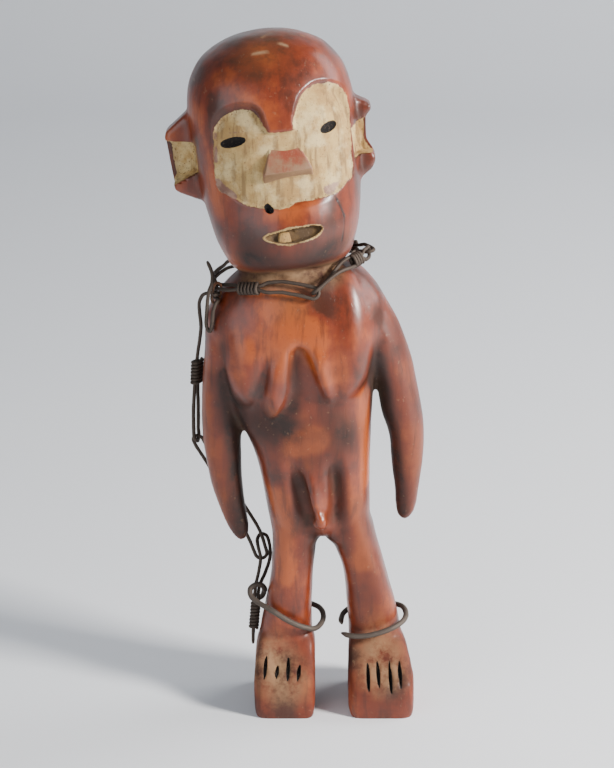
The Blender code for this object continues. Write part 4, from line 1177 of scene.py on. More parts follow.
@dataclass(frozen=True)
class PlainWoodFinish:
    """A small painted or rubbed area of wood, such as the nose or the mouth's hollow."""

    name: str
    main: Point
    other: Point
    rough: float
    patch: float = 0.5
    relief: float = 0.6
    relief_depth: float = 0.00025

    def material(self, shared: Shared) -> Material:
        """Builds the finish.

        Args:
            shared: the shader groups.

        Returns:
            The material.
        """
        hand, shader, place = new_material(self.name, self.main)
        wear = hand.use(shared.wear, place, Size=2.2)
        grain = hand.use(shared.grain, place, Streak=1.0, Pore=0.6)
        dust = hand.use(shared.dust, place, Size=1.4)
        mixed = hand.plus(wear.outputs["Patches"], hand.times(grain.outputs["Streaks"], 0.5))
        colour = hand.blend(hand.ramp(mixed, self.patch, self.patch + 0.32), self.main, self.other)
        colour = hand.blend(hand.times(wear.outputs["Specks"], 0.35), colour, (0.30, 0.20, 0.14))
        # Near-black painted shade where the surface is most shut in
        colour = hand.blend(hand.mask("cut"), colour, PAINTED_DEEP_SHADE)
        hand.link(colour, shader.inputs["Base Color"])
        gloss = hand.plus(hand.times(dust.outputs["Film"], 0.3), self.rough - 0.15, clamp=True)
        hand.link(gloss, shader.inputs["Roughness"])
        height = hand.plus(wear.outputs["Patches"], hand.times(grain.outputs["Height"], 0.4))
        raise_surface(hand, shader, height, self.relief, self.relief_depth)
        return bpy.data.materials[self.name]


@dataclass(frozen=True)
class IronFinish:
    """Old wrought wire: dark brown oxide, ochre rust in patches, bare grey on the rubbed crests."""

    name: str
    oxide: Point = (0.052, 0.036, 0.028)
    rust: Point = (0.17, 0.070, 0.032)
    bare: Point = (0.16, 0.135, 0.115)
    rusty: float = 0.5
    relief: float = 0.9
    relief_depth: float = 0.00030

    def material(self, shared: Shared) -> Material:
        """Builds the finish.

        Args:
            shared: the shader groups.

        Returns:
            The material.
        """
        hand, shader, place = new_material(self.name, self.oxide)
        wear = hand.use(shared.wear, place, Size=3.2)
        dust = hand.use(shared.dust, place, Size=2.4)
        rust = hand.ramp(hand.plus(dust.outputs["Film"], self.rusty - 0.5), 0.42, 0.66)
        colour = hand.blend(rust, self.oxide, self.rust)
        crest = hand.ramp(wear.outputs["Patches"], 0.52, 0.72)
        colour = hand.blend(hand.times(crest, 0.75), colour, self.bare)
        colour = hand.blend(hand.times(wear.outputs["Specks"], 0.5), colour, (0.24, 0.10, 0.045))
        hand.link(colour, shader.inputs["Base Color"])
        hand.link(hand.times(hand.minus(1.0, rust), 0.55), shader.inputs["Metallic"])
        hand.link(hand.plus(hand.times(rust, 0.28), 0.50), shader.inputs["Roughness"])
        height = hand.plus(hand.times(dust.outputs["Film"], 1.6), hand.times(dust.outputs["Tooth"], 0.7))
        raise_surface(hand, shader, height, self.relief, self.relief_depth)
        return bpy.data.materials[self.name]


class Side(Enum):
    """Which side of the viewer's middle a limb is on."""

    VIEWERS_LEFT = -1.0
    VIEWERS_RIGHT = 1.0


@dataclass(frozen=True)
class Touch:
    """One painted place of a mask, along a straight stretch in the carver's frame."""

    start: Point
    end: Point
    reach: float
    strength: float


WARM = (
    Touch((2, -30, 236), (6, -30, 216), 24, 0.50),
    Touch((14, -30, 222), (24, -28, 196), 16, 0.30),
    Touch((-8, -26, 190), (-8, -25, 178), 8, 0.50),
    Touch((0, -24, 160), (10, -24, 161), 12, 0.90),
    Touch((39.6, -16.4, 180), (34.6, -11.4, 132), 8, 0.95),
    Touch((-14, -16, 128), (-17, -14, 84), 11, 0.70),
    Touch((29, -16, 122), (26, -13, 84), 9, 0.45),
    Touch((-21, -14, 82), (-24, -13, 50), 16, 0.20),
    Touch((27, -14, 84), (28, -13, 50), 16, 0.20),
    Touch((6, -42, 352), (4, -40, 336), 16, 0.30),
    Touch((40, -34, 345), (30, -38, 352), 9, 0.60),
    Touch((-27, -26, 340), (-25, -26, 290), 9, 0.40),
    Touch((2, -41, 289), (26, -38, 290), 9, 0.40),
    Touch((-45, -8, 204), (-50, -2, 112), 12, 0.36),
    Touch((60, -8, 190), (62, -2, 112), 12, 0.30),
)
# Darkening of the wood. Real smoke and hand film on the belly, thighs, feet, outer arms and back of the head; painted
# shade on the inner arms, in the armpits, the chest's middle notch and the groin's valleys, between the thighs and the
# feet, and under the chin
FILM_AND_SHADE = (
    Touch((-31, -12, 198), (-35, -6, 108), 13, 1.15),
    Touch((46, -12, 206), (49, -6, 108), 11.5, 1.15),
    Touch((-29, -17, 216), (-28, -15, 188), 8, 0.9),
    Touch((-21, -20, 176), (-4, -24, 171), 19, 0.50),
    Touch((20, -24, 182), (26, -20, 160), 16, 0.44),
    Touch((31, -16, 116), (28, -13, 54), 17, 0.42),
    Touch((3, -25, 204), (3, -24, 182), 8, 0.62),
    Touch((-2, -20, 138), (-1, -16, 84), 11.5, 0.52),
    Touch((18.6, -20, 138), (16.5, -16, 92), 10.5, 0.52),
    Touch((5, -8, 108), (4, -4, 66), 12, 0.9),
    Touch((4, -24, 148), (14, -22, 148), 12, 0.30),
    Touch((-8, -34, 266), (36, -32, 265), 19, 1),
    Touch((-14, -22, 168), (22, -22, 160), 26, 0.46),
    Touch((10.5, 46, 350), (10.5, 40, 260), 34, 0.40),
    Touch((-40, -30, 198), (48, -30, 198), 6, 0.15),
    Touch((12, -14, 30), (12, 10, 6), 9, 0.5),
    Touch((26, -27, 14), (28, -18, 30), 26, 0.42),
    Touch((-26, -27, 14), (-26, -18, 30), 26, 0.12),
    Touch((60, -8, 212), (62, -4, 120), 17, 0.44),
    Touch((-45, -8, 200), (-47, -2, 120), 14, 0.32),
)
OLIVE = (
    Touch((8, -22, 370), (14, 10, 374), 26, 0.60),
    Touch((8, -14, 250), (8, -20, 238), 20, 0.70),
)
DUSTY = (
    Touch((-16, -19, 252), (30, -19, 250), 12, 0.9),
    Touch((-31, -19, 36), (-25, -22, 24), 21, 0.90),
    Touch((30, -19, 36), (30, -22, 24), 21, 0.90),
    Touch((-30, 20, 8), (40, 20, 8), 26, 0.45),
    Touch((11.1, -10.8, 373.5), (15.2, -5.7, 374.7), 1.4, 1.3),
    Touch((25.2, -5.5, 372.8), (31.6, -3.7, 370.6), 1.4, 1.3),
    Touch((19.9, -16.6, 370.3), (22.8, -17.7, 369.1), 1.7, 1.2),
    Touch((6, -22, 368), (12.6, -22, 368.2), 1.7, 1.2),
)
DULL = (
    Touch((-32, -14, 24), (42, -14, 24), 36, 1.25),
    Touch((-20, -16, 246), (36, -16, 246), 14, 0.80),
    Touch((10, 30, 300), (10, 26, 120), 30, 0.40),
)
BARE = (
    Touch((20, -36, 296.5), (34, -32, 300), 5.5, 0.75),
    Touch((36, -30, 302), (37.5, -28, 320), 5, 0.85),
    Touch((-35, -24, 306), (-28, -30, 299), 5.5, 0.85),
    Touch((-33.5, -24, 318), (-32.5, -26, 331), 4.5, 0.70),
    Touch((-25, -30, 332), (-14, -34, 331), 4, 0.62),
)
CRACK = ((34.4, -31.8, 298.6), (38.4, -31.2, 290.1), (40.9, -29.1, 281.3), (38.3, -29.6, 268.6))
INSECT_HOLE = ((3.4, -39.4, 295.2), (4.6, -40.2, 289.4), 1.5, 2.8)


CHEST_LINE = (
    (-60, 214), (-38.2, 209.5), (-31, 198), (-22.6, 187.4), (-17.6, 189.5), (-13.2, 201), (-9.4, 211), (-9.8, 203),
    (-11.2, 192), (-9, 178), (-4.2, 183), (-0.6, 192), (1.6, 203), (3.4, 212), (8, 215.4), (12.6, 212.2), (15.6, 202),
    (17.8, 192), (20.8, 184.6), (23.6, 188.6), (24.6, 194), (25.6, 188.6), (28.6, 182.6), (36.7, 189), (44.6, 197.5),
    (52.4, 210), (80, 214), (80, 140), (-60, 140),
)


@dataclass(frozen=True)
class Valley:
    """A hollow worked along a line of the carver's frame, seen from the front: across and height."""

    line: Rows
    reach: float
    depth: float
    grows: float = 0.01


VALLEYS = (
    Valley(((-5.6, 214), (-11.3, 201), (-16.4, 186)), 6, 1.6, 9),
    Valley(((22, 204), (24.2, 186)), 4.6, 0.8, 8),
    Valley(((8, 212), (6.5, 186)), 6.5, 0.9, 6),
    Valley(((-3.6, 151), (-2.2, 132), (0.6, 98)), 7.6, 5.4, 20),
    Valley(((18.2, 151), (18.4, 132), (14.6, 98)), 7.2, 5.8, 20),
    Valley(((2.6, 167), (3.6, 167)), 2.4, 1),
)
# Soft limits, each from where a share is 0 to where it is 1
FACING_FRONT = (0.10, 0.45)
BELLY_BEGINS = (150.0, 170.0)
TRUNK_SIDE = (0.02, 0.16)
CHEST_SPREAD = (10.0, 26.0)
CHEST_EDGE = (-1.6, 3.2)
CHEST_EDGE_SPREAD = (-3.0, 7.0)
DROPS_END = (156.0, 170.0)
DROPS_BEGIN = (-222.0, -208.0)
OUTER_CHEST = (13.0, 22.0)
BROW = (326.0, 344.0)
CHEEK = (298.0, 320.0)
TEMPLE = (26.0, 36.0)
# The knife's waves: height in units, length in metres and seed
KNIFE_WAVES = ((0.22, 0.0085, 3), (0.10, 0.0042, 7))
MUZZLE = Valley(((-2, 276), (6, 284)), 24, -1.6)


@dataclass
class Carving:
    """The figure, cut from one block: head, ears, neck, trunk, arms, legs and feet."""

    wood: Material
    kaolin: Material
    nose_red: Material
    nose_tan: Material
    hollow: Material
    # Near-black lining of the toe slots, eye slits and insect hole: painted shade
    dark: Material
    voxel: float = 0.0014
    head_square: float = 2.15
    neck_square: float = 2.1
    trunk_square: float = 2.35
    leg_square: float = 2.7
    foot_square: float = 8.0
    toe_width: float = 1.8
    toe_depth: float = 3.6
    chest_depth: float = 5.2
    chest_middle: float = 5.0
    trunk_front: float = -6.0
    face_front: float = -5.0
    lips_front: float = -24.0
    clay_rim: float = 1.25
    fine_front: float = -7.0
    fine_heights: tuple[float, float] = (262.0, 357.0)
    longest_edge: float = 0.0022
    shortest_edge: float = 0.00004
    rubbed_turn: float = math.radians(28)
    shaded_turn: float = math.radians(42)
    sole: float = 0.0006
    shadow_rays: int = 20
    shadow_reach: float = 0.022

    def lean_flank(self, foot: Object, side: Side, start: float, slope: float) -> Object:
        """Leans a foot's outer side inwards above a height.

        Args:
            foot: the foot.
            side: which foot it is.
            start: the height in units.
            slope: how far it leans for each unit of height.

        Returns:
            The same foot.
        """
        middle = sum(vert.co.x for vert in foot.data.vertices) / len(foot.data.vertices)
        for vert in foot.data.vertices:
            if side.value * (vert.co.x - middle) > 0:
                vert.co.x -= side.value * slope * max(0.0, vert.co.z - start * UNIT)
        return foot

    def block(self, mould: Mould) -> Object:
        """Fuses the masses into one finely meshed body.

        Args:
            mould: the maker of its shapes.

        Returns:
            The body.
        """
        masses = [
            mould.loft("head", HEAD_ROWS, self.head_square, CARVER),
            mould.loft("neck", NECK_ROWS, self.neck_square, CARVER),
            mould.loft("trunk", TRUNK_ROWS, self.trunk_square, CARVER),
            mould.loft("right_arm", RIGHT_ARM_ROWS, self.neck_square, CARVER),
            mould.loft("left_arm", LEFT_ARM_ROWS, self.neck_square, CARVER),
            mould.loft("right_leg", RIGHT_LEG_ROWS, self.leg_square, CARVER),
            mould.loft("left_leg", LEFT_LEG_ROWS, self.leg_square, CARVER),
            self.lean_flank(
                mould.loft("right_foot", RIGHT_FOOT_ROWS, self.foot_square, LYING), Side.VIEWERS_LEFT, *RIGHT_FLANK),
            self.lean_flank(
                mould.loft("left_foot", LEFT_FOOT_ROWS, self.foot_square, LYING), Side.VIEWERS_RIGHT, *LEFT_FLANK),
            mould.prism("right_ear", RIGHT_EAR, EAR_FRONT, EAR_BACK, CARVER),
            mould.prism("left_ear", LEFT_EAR, EAR_FRONT, EAR_BACK, CARVER),
        ]
        masses += [mould.drop("mass", *shape, CARVER) for shape in BREASTS + CHEST_LOBES + LOINS]
        figure = joined("carving", masses)
        fuse = figure.modifiers.new("fuse", "REMESH")
        fuse.mode = "VOXEL"
        fuse.voxel_size = self.voxel
        baked(figure)
        dressed(figure, self.wood)
        soften = figure.modifiers.new("soften", "SMOOTH")
        soften.factor = 0.5
        soften.iterations = 6
        baked(figure)
        self.sculpt_body(figure)
        self.refine_face(figure)
        self.sculpt_face(figure)
        return figure

    def sculpt_body(self, figure: Object) -> None:
        """Works the chest's drops, the belly behind them and the valleys of the trunk.

        Args:
            figure: the fused body.
        """
        surface = Surface(figure)
        units = surface.within(CARVER)
        flat = units[:, [0, 2]]
        facing = softened(-surface.normals[:, 1], *FACING_FRONT) * (units[:, 1] < self.trunk_front)
        belly, out = front_of(BELLY_ROWS, flat, self.trunk_square)
        on_trunk = facing * softened(units[:, 2], *BELLY_BEGINS) * softened(1.0 - out, *TRUNK_SIDE)
        spread = softened(np.abs(flat[:, 0] - self.chest_middle), *CHEST_SPREAD)
        low, high = [edge + more * spread for edge, more in zip(CHEST_EDGE, CHEST_EDGE_SPREAD)]
        below = softened(inside_by(flat, CHEST_LINE), low, high) * on_trunk
        gap = np.clip(belly - units[:, 1], 0.0, self.chest_depth)
        surface.places[:, 1] += gap * below * UNIT
        for valley in VALLEYS:
            away = distance_to(flat, valley.line)
            grown = softened(valley.line[0][1] + valley.reach * 0.5 - flat[:, 1], 0.0, valley.grows)
            grown *= softened(flat[:, 1] - valley.line[-1][1], -2.0, -2.0 + valley.grows)
            surface.push(valley.depth * softened(valley.reach - away, 0.0, valley.reach) * facing * grown)
        surface.write()
        lower_chest = softened(units[:, 2], *DROPS_END) * softened(-units[:, 2], *DROPS_BEGIN)
        outer = softened(np.abs(flat[:, 0] - self.chest_middle), *OUTER_CHEST)
        rounded = 0.12 + lower_chest * on_trunk * (0.12 + 0.76 * outer)
        region = figure.vertex_groups.new(name="rounded")
        for index, weight in enumerate(np.clip(rounded, 0.0, 1.0)):
            region.add([index], float(weight), "REPLACE")
        smooth = figure.modifiers.new("soft", "SMOOTH")
        smooth.factor = 0.5
        smooth.iterations = 27
        smooth.vertex_group = region.name
        baked(figure)
        figure.vertex_groups.clear()

    def refine_face(self, figure: Object) -> None:
        """Gives the face a finer mesh for its crisp field edges.

        Args:
            figure: the fused body.
        """
        back = FACE.inverted()
        low, high = self.fine_heights
        bm = bmesh.new()
        bm.from_mesh(figure.data)
        fine = set()
        for face in bm.faces:
            _, y, w = back @ face.calc_center_median()
            if y < self.fine_front and low < w < high:
                fine.update(face.edges)
        bmesh.ops.subdivide_edges(bm, edges=list(fine), cuts=1, use_grid_fill=True)
        bmesh.ops.triangulate(bm, faces=[face for face in bm.faces if len(face.verts) > 4])
        bm.to_mesh(figure.data)
        bm.free()

    def field_places(self, surface: Surface) -> tuple[np.ndarray, np.ndarray]:
        """Measures where vertices lie in the face fields.

        Args:
            surface: the body's surface.

        Returns:
            The places in the face's units, and how far inside the fields' outline each lies.
        """
        units = surface.within(FACE)
        inside = inside_by(units[:, [0, 2]], rounded_outline(FIELD_OUTLINE, 4))
        return units, np.where(units[:, 1] < self.face_front, inside, OUTSIDE)

    def sculpt_face(self, figure: Object) -> None:
        """Sinks the two fields of the face and swells the mouth's part.

        Args:
            figure: the fused body.
        """
        surface = Surface(figure)
        units, inside = self.field_places(surface)
        brow = softened(units[:, 2], *BROW)
        rim = 1.3 + 2.6 * brow
        depth = 1.15 + 0.5 * softened(units[:, 2], *CHEEK) + 1.7 * brow
        side = softened(np.abs(units[:, 0] - 1.0), *TEMPLE)
        depth = depth * (1 - 0.45 * side * (1 - brow))
        surface.push(depth * softened(inside / rim, -0.15, 1.0))
        swell = np.clip(1 - distance_to(units[:, [0, 2]], MUZZLE.line) / MUZZLE.reach, 0.0, 1.0)
        outside = softened(-inside, -1.0, 3.0) * (units[:, 1] < -10.0)
        surface.push(MUZZLE.depth * softened(swell, 0.0, 1.0) * outside)
        carver = surface.within(CARVER)
        split = sum(near_segment(carver, start, end, 1.1) for start, end in zip(CRACK, CRACK[1:]))
        surface.push(0.5 * np.clip(split, 0.0, 1.0))
        surface.write()

    def nose(self) -> Object:
        """Makes the nose: a wedge whose front slopes out and whose underside slopes back.

        Returns:
            The wedge.
        """
        bm = bmesh.new()
        for half, forward, height in (NOSE_TOP, NOSE_TIP, NOSE_FOOT):
            for across in (NOSE_ACROSS - half, NOSE_ACROSS + half):
                bmesh.ops.create_vert(bm, co=(across, -forward, height))
                bmesh.ops.create_vert(bm, co=(across, -NOSE_ROOT, height))
        hull = bmesh.ops.convex_hull(bm, input=bm.verts)
        spare = {item for item in hull["geom_interior"] + hull["geom_unused"] if isinstance(item, bmesh.types.BMVert)}
        bmesh.ops.delete(bm, geom=list(spare), context="VERTS")
        bmesh.ops.dissolve_limit(bm, angle_limit=math.radians(1.0), verts=bm.verts, edges=bm.edges)
        bmesh.ops.bevel(bm, geom=bm.edges, offset=0.7, segments=3, profile=0.5, affect="EDGES", material=-1)
        bmesh.ops.triangulate(bm, faces=bm.faces)
        bmesh.ops.recalc_face_normals(bm, faces=bm.faces)
        for face in bm.faces:
            face.material_index = 1 if face.normal.z < -0.45 else 0
        bmesh.ops.transform(bm, matrix=FACE, verts=bm.verts)
        nose = mesh_object("nose", bm)
        nose.data.materials.append(self.nose_red)
        nose.data.materials.append(self.nose_tan)
        return nose

    def mouth(self, mould: Mould) -> Object:
        """Makes the mouth's hollow, less the block of teeth that stands in it.

        Args:
            mould: the maker of its shapes.

        Returns:
            The cutter.
        """
        front = table_at(HEAD_ROWS, MOUTH_OUTLINE[0][1])[2]
        outline = rounded_outline(MOUTH_OUTLINE, 4)
        cutter = dressed(mould.prism("mouth", outline, -60.0, front + MOUTH_DEPTH, FACE), self.hollow)
        left, right, low, high = TEETH
        corners = ((left, low), (right, low), (right, high), (left, high))
        teeth = dressed(mould.prism("teeth", corners, front + TEETH_SUNK, 0.0, FACE), self.kaolin)
        boolean(cutter, teeth, Cut.AWAY)
        return cutter

    def eyes(self, figure: Object, mould: Mould) -> list[Object]:
        """Makes the cutters of the two slit eyes, set on the face as it now is.

        Args:
            figure: the body.
            mould: the maker of its shapes.

        Returns:
            The cutters.
        """
        tree = BVHTree.FromObject(figure, bpy.context.evaluated_depsgraph_get())
        inwards = (FACE.to_3x3() @ Vector((0.0, 1.0, 0.0))).normalized()
        cutters = []
        for slit in EYES:
            ends = [tree.ray_cast(FACE @ Vector((u, -80.0, w)), inwards)[0] for u, w in slit]
            start, end = [tuple(FACE.inverted() @ place) for place in ends]
            cutters.append(mould.drop("eye", start, end, EYE_HALF_HEIGHT, EYE_DEPTH, FACE))
        return cutters

    def toe(self, mould: Mould, rows: Rows, start_x: float, start_z: float, end_x: float, end_z: float) -> Object:
        """Makes the cutter of one slot between two toes, which follows the slope of the instep.

        Args:
            mould: the maker of its shapes.
            rows: the foot's sections.
            start_x: the slot's top, across.
            start_z: its top's height.
            end_x: its foot, across.
            end_z: its foot's height.

        Returns:
            The cutter.
        """
        a, b = Vector((start_x, start_z)), Vector((end_x, end_z))
        side = (b - a).orthogonal().normalized() * self.toe_width / 2
        shares = [k / 8 for k in range(1, 8)]
        outline = [a] + [a.lerp(b, share) + side * math.sin(math.pi * share) for share in shares]
        outline += [b] + [a.lerp(b, share) - side * math.sin(math.pi * share) for share in reversed(shares)]
        cutter = mould.prism("toe", tuple((point.x, point.y) for point in outline), -40.0, -self.toe_depth, UNITS)
        toe_row, instep_row = rows[0], rows[3]
        slope = (instep_row[0] - toe_row[0]) / (instep_row[4] - toe_row[4])
        back = max(vert.co.y for vert in cutter.data.vertices) - UNIT
        for vert in cutter.data.vertices:
            if vert.co.y > back:
                rise = max(0.0, vert.co.z / UNIT - toe_row[4])
                share = min(1.0, max(0.0, (start_z - vert.co.z / UNIT) / (start_z - end_z)))
                depth = self.toe_depth * (0.35 + 0.65 * math.sin(math.pi * share))
                vert.co.y = UNIT * (toe_row[0] + rise * slope + depth - FEET_MIDDLE[1])
        # The slot is lined near-black: painted shade
        return dressed(cutter, self.dark)

    def cut_features(self, figure: Object, mould: Mould) -> None:
        """Cuts the ears, mouth, eyes, insect hole and toes, sets the nose and cuts away what lies below the ground.

        Args:
            figure: the body.
            mould: the maker of the cutters.
        """
        boolean(figure, self.nose(), Cut.JOIN)
        cutters = []
        for outline in (RIGHT_EAR_HOLLOW, LEFT_EAR_HOLLOW):
            cutters.append(dressed(mould.prism("ear_hollow", outline, -30.0, EAR_PANEL, CARVER), self.kaolin))
        cutters.append(self.mouth(mould))
        # The eye slits and the insect hole are lined near-black: painted shade
        cutters += [dressed(eye, self.dark) for eye in self.eyes(figure, mould)]
        cutters.append(dressed(mould.drop("insect_hole", *INSECT_HOLE, CARVER), self.dark))
        for slots, rows in ((RIGHT_TOES, RIGHT_FOOT_ROWS), (LEFT_TOES, LEFT_FOOT_ROWS)):
            cutters += [self.toe(mould, rows, *slot) for slot in slots]
        bm = bmesh.new()
        bmesh.ops.create_cube(bm, size=HEIGHT)
        bmesh.ops.translate(bm, vec=(0.0, 0.0, -HEIGHT / 2), verts=bm.verts)
        cutters.append(dressed(mesh_object("ground", bm), self.wood))
        for cutter in cutters:
            boolean(figure, cutter, Cut.AWAY)

    def soften_edges(self, figure: Object) -> None:
        """Rubs the razor edges that the cuts leave, as years of handling do.

        Args:
            figure: the carved body.
        """
        bm = bmesh.new()
        bm.from_mesh(figure.data)
        bmesh.ops.triangulate(bm, faces=bm.faces)
        bmesh.ops.dissolve_degenerate(bm, dist=self.shortest_edge, edges=bm.edges)
        long_edges = [edge for edge in bm.edges if edge.calc_length() > self.longest_edge]
        bmesh.ops.subdivide_edges(bm, edges=long_edges, cuts=1, use_grid_fill=False)
        bmesh.ops.triangulate(bm, faces=bm.faces)
        closed = [edge for edge in bm.edges if len(edge.link_faces) == 2]
        turned = [edge for edge in closed if edge.calc_face_angle(0.0) > self.rubbed_turn]
        sharp = {vert for edge in turned for vert in edge.verts if vert.co.z > self.sole}
        for _ in range(3):
            bmesh.ops.smooth_vert(bm, verts=list(sharp), factor=0.35, use_axis_x=True, use_axis_y=True, use_axis_z=True)
        for face in bm.faces:
            face.smooth = True
        for edge in bm.edges:
            edge.smooth = edge.calc_face_angle(0.0) < self.shaded_turn
        bm.to_mesh(figure.data)
        bm.free()

    def hollow_shade(self, figure: Object) -> np.ndarray:
        """Finds how shut in each point of the surface is, by looking out from it.

        Args:
            figure: the carved body.

        Returns:
            One value for each vertex, 0 in the open and 1 deep in a recess.
        """
        count = self.shadow_rays
        tree = BVHTree.FromObject(figure, bpy.context.evaluated_depsgraph_get())
        directions = []
        for k in range(count):
            height = 1 - (k + 0.5) / count
            turn = k * math.pi * (3 - math.sqrt(5))
            wide = math.sqrt(1 - height * height)
            directions.append(Vector((wide * math.cos(turn), wide * math.sin(turn), height)))
        shade = np.zeros(len(figure.data.vertices))
        for index, vert in enumerate(figure.data.vertices):
            normal = vert.normal
            turn = normal.to_track_quat("Z", "Y")
            start = vert.co + normal * 0.0004
            for way in directions:
                hit = tree.ray_cast(start, turn @ way, self.shadow_reach)[3]
                if hit is not None:
                    shade[index] += 1.0 - hit / self.shadow_reach
        return shade / count

    def painted(self, places: np.ndarray, touches: tuple[Touch, ...]) -> np.ndarray:
        """Adds up the touches of one mask.

        Args:
            places: the vertices in the carver's units.
            touches: the painted places.

        Returns:
            One value for each vertex.
        """
        total = np.zeros(len(places))
        for touch in touches:
            total += touch.strength * near_segment(places, touch.start, touch.end, touch.reach)
        return total

    def store(self, figure: Object, name: str, values: np.ndarray, low: float = 0.0, high: float = 1.0) -> None:
        """Keeps one mask or distance on the mesh as a named attribute.

        Args:
            figure: the carved body.
            name: the attribute's name.
            values: one value for each vertex.
            low: the least that is kept.
            high: the most that is kept.
        """
        layer = figure.data.attributes.new(name, "FLOAT", "POINT")
        layer.data.foreach_set("value", np.clip(values, low, high).astype(np.float32))

    def knife_facets(self, figure: Object) -> None:
        """Gives the wood the shallow flats and waves that a knife leaves, less on its other finishes and under the
        feet.

        Args:
            figure: the carved body.
        """
        surface = Surface(figure)
        places = surface.places
        stretched = places * np.array([1.0, 1.0, 0.55])
        wave = sum(height * smooth_noise(stretched, size, seed) for height, size, seed in KNIFE_WAVES)
        on_wood = np.ones(len(places))
        for polygon in surface.mesh.polygons:
            if polygon.material_index:
                on_wood[list(polygon.vertices)] = 0.35
        on_wood *= np.clip((places[:, 2] - 0.0008) / 0.003, 0.0, 1.0)
        surface.push(-wave * on_wood)
        surface.write()

    def masks(self, figure: Object) -> None:
        """Paints the finish masks, among them painted shade in the recesses and under the left brow.

        Args:
            figure: the carved body.
        """
        surface = Surface(figure)
        places = surface.places
        units = surface.within(CARVER)
        face, inside = self.field_places(surface)
        shade = self.hollow_shade(figure)
        drift = 0.5 + 0.5 * smooth_noise(places, 0.012, 11)
        reach = self.clay_reach(face, inside)
        # The band under the left brow's overhang, darkened in the film mask as painted shade
        brow = softened(inside, -0.6, 1.0) * softened(face[:, 2], 330.0, 340.0) * softened(-face[:, 0], 4.0, 10.0)
        split = sum(near_segment(units, start, end, 1.2) for start, end in zip(CRACK, CRACK[1:]))
        # Warmer wood by the touches, less warm in recesses by the hollow shade: painted shade
        self.store(figure, "warm", 0.34 + self.painted(units, WARM) + 0.20 * (drift - 0.5) - 0.5 * shade)
        # Film mask: the hollow shade term and the brow band are painted shade; the touches are partly real smoke and
        # hand film, partly painted shade
        film_and_shade = 0.10 + 1.7 * np.clip(shade - 0.10, 0.0, 1.0) + self.painted(units, FILM_AND_SHADE) + 0.36 * brow
        self.store(figure, "film_and_shade", film_and_shade)
        self.store(figure, "olive", self.painted(units, OLIVE))
        self.store(figure, "dusty", self.painted(units, DUSTY) + 0.5 * np.clip(shade - 0.22, 0.0, 1.0))
        self.store(figure, "dull", self.painted(units, DULL) + 1.3 * np.clip(shade - 0.12, 0.0, 1.0))
        # The edge mask is the hollow shade: it thickens the kaolin's dark flecks in hollows, as painted shade
        self.store(figure, "edge", np.clip((shade - 0.06) * 3.0, 0.0, 1.0))
        self.store(figure, "bare", self.painted(face, BARE))
        self.store(figure, "clay", reach, -8.0, 8.0)
        # The cut mask: near-black painted shade where the surface is most shut in, and the real crack
        self.store(figure, "cut", np.clip((shade - 0.62) * 3.0, 0.0, 1.0) + 1.2 * split)

    def clay_reach(self, face: np.ndarray, inside: np.ndarray) -> np.ndarray:
        """Finds how far inside the clay's own edge each place of the face lies.

        Args:
            face: places in the face's units.
            inside: how far each lies inside the fields' outline.

        Returns:
            The distances in units.
        """
        brow = softened(face[:, 2], 328.0, 344.0)
        left = softened(-face[:, 0], 2.0, 8.0)
        held_back = 0.2 + brow * (1.5 + 2.7 * left)
        lips = inside_by(face[:, [0, 2]], rounded_outline(MOUTH_OUTLINE, 4))
        lips += np.where(face[:, 1] < self.lips_front, self.clay_rim, OUTSIDE)
        return np.maximum(inside - held_back, lips)

    def build(self, mould: Mould) -> Object:
        """Carves and paints the figure.

        Args:
            mould: the maker of its shapes.

        Returns:
            The finished piece.
        """
        figure = self.block(mould)
        self.cut_features(figure, mould)
        self.soften_edges(figure)
        self.knife_facets(figure)
        self.masks(figure)
        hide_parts("figure")
        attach(figure, "root")
        log.info("carving: %d vertices", len(figure.data.vertices))
        return figure


